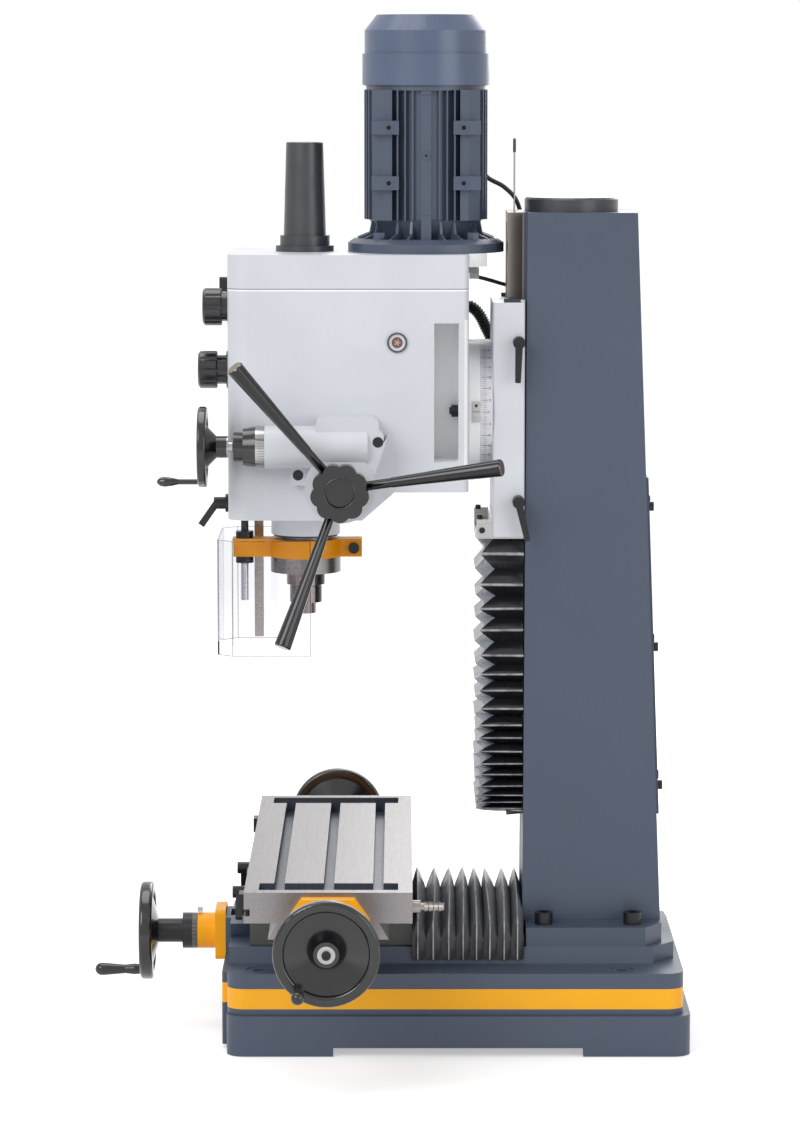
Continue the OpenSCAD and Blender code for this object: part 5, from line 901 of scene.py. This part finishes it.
# %% Tall cover under the head slide
crest_z = np.array([343, 353.3, 363, 377.7, 394.8, 411.1, 428.6, 449.9, 469, 493.4, 521.3,
                    545.5, 573.1, 612.4, 644, 679.1, 725.4]) / 1000
valley_z = np.concatenate([[0.3375], (crest_z[1:] + crest_z[:-1]) / 2, [0.7478]])
tall_lo, tall_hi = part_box("vertical_bellows")
half, front, back = tall_hi.x, tall_lo.y, tall_hi.y
crest_outline = [(half, back), (half, front + 0.006), (half - 0.018, front + 0.021)]
valley_outline = [(half - 0.017, back), (half - 0.017, front + 0.029), (half - 0.030, front)]
unevenness, held_at_back, bulge, full_bulge_at = 0.0012, 0.3, 0.0022, 0.04
dice = np.random.default_rng(7)
rings = []
for i in range(2 * len(crest_z) + 1):
    wave = dice.uniform(-1, 1, 3) * unevenness
    outline, z = (crest_outline, crest_z[i // 2]) if i % 2 else (valley_outline,
                                                                 valley_z[i // 2])
    right = [(x + wave[0], y + wave[1], z + wave[2] * (held_at_back if j == 0 else 1))
             for j, (x, y) in enumerate(outline)]
    rings.append(right + [(-x, y, z) for x, y, z in right[::-1]])
swell = [bulge * min(1.0, (rings[i + 1][0][2] - rings[i][0][2]) / full_bulge_at)
         * (1 if i % 2 else -1) for i in range(len(rings) - 1)]
tall_grid = concertina(rings, (6, 4, 10, 4, 6), swell)
panel_column = 6    # the front panel starts after the six cells of the side
# The grey panel colour is a painted reflection, and the pale crest colour is wear with a painted
# highlight.
tall_cloth = vinyl("tall_cover_cloth", "121317", "9B9EA6",
                   -from_middle(tall_grid)[panel_column] - 0.001, "B4B6BD", 0.12, 0.28)
tall_cover = cloth_piece("tall_way_cover", tall_grid, tall_cloth)
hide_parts("vertical_bellows")

# %% [markdown]
# The roof cover spans the ways between saddle and column. Its rings stand upright and
# follow each other along Y, with a sloping shoulder on either side of a flat top.

# %% Roof cover behind the saddle
low_lo, low_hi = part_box("front_bellows")
start_y, end_y = low_lo.y, low_hi.y
wide, foot_z, top_z = low_hi.x, low_lo.z, low_hi.z
crest_y = start_y + (end_y - start_y) * np.array(
    [0.05, 0.19, 0.33, 0.46, 0.58, 0.70, 0.83, 0.95])
valley_y = np.concatenate([[start_y], (crest_y[1:] + crest_y[:-1]) / 2, [end_y]])
crest_outline = [(wide, foot_z), (wide, foot_z + 0.058), (0.066, top_z), (0.0, top_z)]
valley_outline = [(wide - 0.004, foot_z), (wide - 0.004, foot_z + 0.030),
                  (0.056, top_z - 0.030), (0.0, top_z - 0.030)]
crest_lean, valley_lean = (0.0, 0.3, -2.6, -2.6), (0.0, 0.2, 1.0, 1.0)
unevenness, shoulder_share, bulge = 0.0016, 0.6, 0.0012
rings = []
for i in range(2 * len(crest_y) + 1):
    drift = dice.uniform(-1, 1, 4) * unevenness
    outline, y, lean = ((crest_outline, crest_y[i // 2], crest_lean) if i % 2 else
                        (valley_outline, valley_y[i // 2], valley_lean))
    right = [(x, y + drift[0] * lean[j], z + drift[1] * (shoulder_share if j in (1, 2) else 0))
             for j, (x, z) in enumerate(outline)]
    rings.append(right + [(-x, y, z) for x, y, z in right[-2::-1]])
swell = [bulge * (1 if i % 2 else -1) for i in range(len(rings) - 1)]
low_grid = concertina(rings, (3, 8, 3, 3, 8, 3), swell)
panel_column = 3    # the shoulder starts after the three cells of the upright side
# The grey panel colour is a painted reflection, and the pale crest colour is wear with a painted
# highlight.
low_cloth = vinyl("roof_cover_cloth", "1B1C20", "77797F",
                  -from_middle(low_grid)[panel_column] - 0.001, "D0D1D4", 0.10, 0.34)
low_cover = cloth_piece("roof_way_cover", low_grid, low_cloth)
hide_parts("front_bellows")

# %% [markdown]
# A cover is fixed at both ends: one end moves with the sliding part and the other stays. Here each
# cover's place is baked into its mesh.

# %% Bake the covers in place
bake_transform(tall_cover)
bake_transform(low_cover)

# %% [markdown]
# ## Leads and conduit
# The motor's lead and a thin lead from under the lid hang down to a gland on the slide, and a
# ribbed conduit carries the control wires beside them. Blender's own curves could make them, but
# rings at even steps let the conduit's radius swell at every rib. The routes are points listed in
# millimetres, with a smooth curve through them.

# %% Smooth curves through listed points
def smooth_curve(points, steps):
    """Curve through points: p + t/2 (c - a + t (2a - 5p + 4c - d + t (3(p - c) + d - a)))."""
    p = np.asarray(points, float)
    q = np.vstack([p[:1], p, p[-1:]])
    a, b, c, d = q[:-3, None], q[1:-2, None], q[2:-1, None], q[3:, None]
    t = (np.arange(steps) / steps)[None, :, None]
    curve = b + t / 2 * (c - a + t * (2 * a - 5 * b + 4 * c - d + t * (3 * (b - c) + d - a)))
    return np.vstack([curve.reshape(-1, 3), p[-1:]])


def even_steps(curve, step):
    """The same curve with points one step apart along its length."""
    run = np.concatenate([[0], np.cumsum(np.linalg.norm(np.diff(curve, axis=0), axis=1))])
    at = np.linspace(0, run[-1], int(round(run[-1] / step)) + 1)
    return np.stack([np.interp(at, run, curve[:, i]) for i in range(3)], -1), run[-1]


print("a curve of 3 points in 4 steps has", len(smooth_curve(np.eye(3), 4)), "points")

# %% [markdown]
# A lead is fixed to the head at one end and to the slide at the other, and the head turns on the
# slide.

# %% Leads from the head to the slide
plain_step, rib_points, rib_depth = 0.006, 6, 0.0019


def lead(name, route, diameter, replaced, rib=None):
    """Flexible lead along a route in millimetres, from the head to the slide.

    A ribbed one narrows by rib_depth between ribs: its radius follows the ridge
    (0.5 - 0.5 cos(2 pi s / rib)) ** 0.6 along its length s, and is narrow at both ends.
    """
    curve, length = even_steps(smooth_curve(np.array(route) / 1000, 40), rib or plain_step)
    if rib:
        curve, length = even_steps(curve, rib / rib_points)
        ridge = 0.5 - 0.5 * np.cos(np.arange(len(curve)) * 2 * np.pi / rib_points)
        radius = diameter / 2 - rib_depth * (1 - ridge ** 0.6)
        radius[:rib_points] = radius[-rib_points:] = diameter / 2 - rib_depth
        shape = tube(curve, radius, 20)
    else:
        shape = tube(curve, diameter / 2, 14)
    made = piece(name, [shape], cable_rubber, edge_angle=60)
    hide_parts(replaced)
    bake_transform(made)
    print(name, "is", round(length, 3), "m long")


lead("motor_lead", [
    (-110, 31.7, 1300), (-110, 44, 1299), (-110, 58, 1291), (-110, 76, 1274),
    (-110, 98, 1262), (-110, 118, 1240), (-110, 127, 1200), (-110, 126, 1150),
    (-110, 120, 1090), (-108, 115.5, 1020), (-108, 115.5, 985.4)], 0.007, "motor_leads")
lead("lid_lead", [
    (-84, 57.9, 1127), (-84, 70, 1124), (-87, 90, 1118), (-95, 108, 1111),
    (-104, 117, 1094), (-106, 113, 1060), (-103, 98, 1022), (-101, 88, 1000),
    (-101, 87, 985.4)], 0.006, "motor_leads")
lead("ribbed_conduit", [
    (-128, 42.2, 1082), (-128, 52, 1078), (-126, 63, 1066), (-122, 74, 1044),
    (-115, 86, 1022), (-110, 97, 1004), (-108, 101, 985.6)], 0.0192, "conduit",
    0.004)

# %% [markdown]
# ## Small parts
# A thin rod stands on the column's dovetail to mark the head's height, with a black tip.
# Both are turned, so a profile of a few points gives each.

# %% Height rod on the column
to_side, to_front, to_top = (1, 0, 0), (0, -1, 0), (0, 0, 1)
rod_foot = (0.045, 0.110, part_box("column_casting")[1].z)
rod = piece("height_rod", [turned_piece(
    [(-0.001, 0.00125), (0.108, 0.00125), (0.108, 0.0008)], rod_foot, to_top, 12)],
    bright_steel, "base")
tip = piece("height_rod_tip", [turned_piece(
    [(0.088, 0.0012), (0.088, 0.0022), (0.1065, 0.0022), (0.1085, 0.0012)],
    rod_foot, to_top, 12)], black_satin, "base")

# %% [markdown]
# Small fittings are bought parts: socket screws and plugs are drums with a recess in the
# top, washers and collars are flat rings, and a bead is a rounded rim. A recess could be
# cut with a Boolean, but a profile that turns inward gives it with clean faces.

# %% Turned fittings in millimetres
def socket_head(place, axis, radius, height, hole=0.5):
    """Cap screw head: a drum with a chamfered rim and a recess in its top, in millimetres."""
    rim = 0.12 * radius
    profile = [(-0.5, radius), (height - rim, radius), (height, radius - rim),
               (height, hole * radius), (0.45 * height, hole * radius)]
    return turned_piece(np.array(profile) / 1000, np.array(place) / 1000, axis, 24)


def washer(place, axis, inner, outer, height):
    """Flat ring with both rims eased, in millimetres."""
    ease = 0.4
    profile = [(0, inner), (0, outer), (height - ease, outer), (height, outer - ease),
               (height, inner)]
    return turned_piece(np.array(profile) / 1000, np.array(place) / 1000, axis, 40)


def bead(place, radius, thick):
    """Rounded rim about X, open inside: (thick sin a, radius - thick cos a), 0 <= a <= pi."""
    a, sides = np.linspace(0, np.pi, 9), 48
    profile = np.stack([thick * np.sin(a), radius - thick * np.cos(a)], -1)
    points, faces = turned_piece(profile / 1000, np.array(place) / 1000, (1, 0, 0), sides)
    return points[:-2], faces[:-2 * sides]


def bar(low, high):
    """Box between two corners in millimetres."""
    return box_piece(np.array(low) / 1000, np.array(high) / 1000)


def fit_out(rows, bevel=0.0):
    """Make the piece of every row (name, body, finish, slot, shapes)."""
    for name, body, material, slot, shapes in rows:
        piece(name, shapes, material, body, bevel=bevel)


print("fittings are written as name, body, finish, slot and shapes")

# %% [markdown]
# Screws, plugs, caps and washers stand on the head, the slide, the levers and the
# handwheels. What the photo shows on one side is taken to be on the other side as well, so
# the hubs of the table's two handwheels come from one loop. A row of the list is name,
# body, finish, slot and shapes.

# %% Screws, plugs and washers
washer_x, screw_x, hub_y, hub_z = 560.2, 562.0, -161, 221.1
cap_x, cap_y = 123, 115.8
bracket_y, bracket_z = 59.5, 776.5
plate_x, plate_y, plate_z = 92, 62.5, 761.0
fit_out([
    ("feed_plugs", "head", black_steel, "black_oxide", [
        socket_head((192, -91, 900.5), to_side, radius=7.8, height=1.2, hole=0.55),
        socket_head((156, -208, 849), to_side, radius=7.8, height=1.2, hole=0.55)]),
    ("bracket_screws", "slide", black_steel, "black_oxide", [
        socket_head((70, bracket_y, bracket_z), to_top, radius=4.2, height=6.0),
        socket_head((-70, bracket_y, bracket_z), to_top, radius=4.2, height=6.0),
        socket_head((plate_x, plate_y, plate_z), to_side, radius=4.4, height=3.5),
        socket_head((-plate_x, plate_y, plate_z), (-1, 0, 0), radius=4.4, height=3.5)]),
    ("slide_lock_caps", "slide_lock_upper", black_steel, "black_oxide", [
        socket_head((cap_x, cap_y, 1040), to_side, radius=5.0, height=1.4)]),
    ("lower_lock_cap", "slide_lock_lower", black_steel, "black_oxide", [
        socket_head((cap_x, cap_y, 805), to_side, radius=5.0, height=1.4)]),
    ("knob_bead", "clutch", black_gloss, "black_plastic", [
        bead((276.4, -145.5, 834), radius=22.0, thick=1.6)]),
    ("dial_index", "base", zinc, "ground_steel", [
        bar((-4.5, -366, 169.0), (4.5, -358, 175.5))]),
    ("quill_lock_collar", "quill_lock", black_steel, "black_oxide", [
        washer((55, -312.4, 798), to_front, inner=8.9, outer=13.6, height=6.0)]),
    ("x_hub_washers", "x_feed", zinc, "ground_steel", [
        washer((s * washer_x, hub_y, hub_z), (s, 0, 0), inner=5.0, outer=12.6, height=2.0)
        for s in (1, -1)]),
    ("x_hub_screws", "x_feed", black_steel, "black_oxide", [
        socket_head((s * screw_x, hub_y, hub_z), (s, 0, 0), radius=6.5, height=5.0)
        for s in (1, -1)]),
])

# %% [markdown]
# The barrel under the head ends in a black rubber seal, strips on top of the slide wipe
# the dovetail with a thin plate behind each, a block holds the lead under the lid, and a
# tab marks the angle on the swivel scale. Their edges are eased by a small bevel.

# %% Seal, wipers and index tab
wiper_z = 1098
fit_out([
    ("quill_seal", "head", black_satin, "black_plastic", [
        washer((0, -200.5, 744.2), to_top, inner=37.8, outer=48.5, height=6.4)]),
    ("slide_wipers", "slide", black_satin, "black_plastic", [
        bar((72, 94, wiper_z), (95, 118, 1103.5)), bar((-95, 94, wiper_z), (-72, 118, 1103.5))]),
    ("wiper_plates", "slide", zinc, "ground_steel", [
        bar((72, 118.5, wiper_z), (95, 124.6, 1102)),
        bar((-95, 118.5, wiper_z), (-72, 124.6, 1102))]),
    ("lid_gland", "head", zinc, "ground_steel", [
        bar((-93, 46, 1124.5), (-75, 60.5, 1142))]),
    ("index_tab", "head", zinc, "ground_steel", [
        bar((100.6, 47.7, 922), (103.0, 59.0, 952.5))]),
    ("index_screw", "head", black_steel, "black_oxide", [
        socket_head((103.0, 53.3, 946.5), to_side, radius=2.2, height=1.2),
        bar((102.8, 47.9, 937.2), (103.1, 59.0, 938.0))]),
], bevel=0.0003)

# %% [markdown]
# The leads and the conduit enter the slide through glands, each a little wider than its
# lead. They stand where the three routes end.

# %% Glands on the slide
gland_z = 985.0
fit_out([
    ("slide_glands", "slide", cap_plastic, "black_plastic", [
        washer((-108, 101, gland_z), to_top, inner=8.0, outer=13.0, height=12.0),
        washer((-101, 87, gland_z), to_top, inner=2.6, outer=6.0, height=8.0),
        washer((-108, 115.5, gland_z), to_top, inner=3.0, outer=6.4, height=8.0)]),
])

# %% [markdown]
# The swivel scale is numbered every ten degrees. A Text object could write the numbers,
# but flat letters would have to be bent round the rim. Here each digit is drawn with up to
# seven short strokes, like an engraver's stencil, laid straight on the rim. A digit is two
# cells high and one wide, and each stroke runs along one side of a cell.

# %% Numbers on the swivel scale
stroke_ends = {"a": (0, 2, 1, 2), "b": (1, 1, 1, 2), "c": (1, 0, 1, 1), "d": (0, 0, 1, 0),
               "e": (0, 0, 0, 1), "f": (0, 1, 0, 2), "g": (0, 1, 1, 1)}
strokes_of = ["abcdef", "bc", "abged", "abgcd", "fgbc", "afgcd", "afgedc", "abc", "abcdefg",
              "abcfgd"]
cell_wide, cell_high, next_digit, half_stroke = 1.2, 1.3, 2.1, 0.2    # millimetres
sunk, raised = -0.0001, 0.00012
rim_radius, digits_y = 0.101, 0.0715


def digit_shapes(number, angle):
    """Strokes of a number, reading along Y: axis + radius (cos, 0, sin) + rise + along."""
    shapes = []
    out = np.array([math.cos(angle), 0, math.sin(angle)])
    rise = np.array([-math.sin(angle), 0, math.cos(angle)])
    centre = np.array([0, 0, swivel_axis[1]]) + out * rim_radius
    for i, digit in enumerate(str(number)):
        for stroke in strokes_of[int(digit)]:
            x0, z0, x1, z1 = stroke_ends[stroke]
            low = np.array([x0 * cell_wide + i * next_digit, (z0 - 1) * cell_high]) - half_stroke
            high = np.array([x1 * cell_wide + i * next_digit, (z1 - 1) * cell_high]) + half_stroke
            box, faces = box_piece(np.array([*low / 1000, sunk]), np.array([*high / 1000, raised]))
            along, above, depth = box.T[:, :, None]
            shapes.append((centre + out * depth + rise * above
                           + np.array([0, 1, 0]) * (digits_y + along), faces))
    return shapes


numbers = []
for base_angle in (0.0, math.pi):
    for step in range(-6, 7):
        numbers += digit_shapes(abs(step) * 10, base_angle + math.radians(10 * step))
piece("swivel_numbers", numbers, label_satin, "slide", smooth=False)
print("numbers every ten degrees")

# %% [markdown]
# ## Box corners
# The last cell gives a helper that turns a box's two corners into plain lists of numbers.

# %% Finish
def corners(box):
    """Two corners as plain lists of numbers."""
    return [list(map(float, corner)) for corner in box]
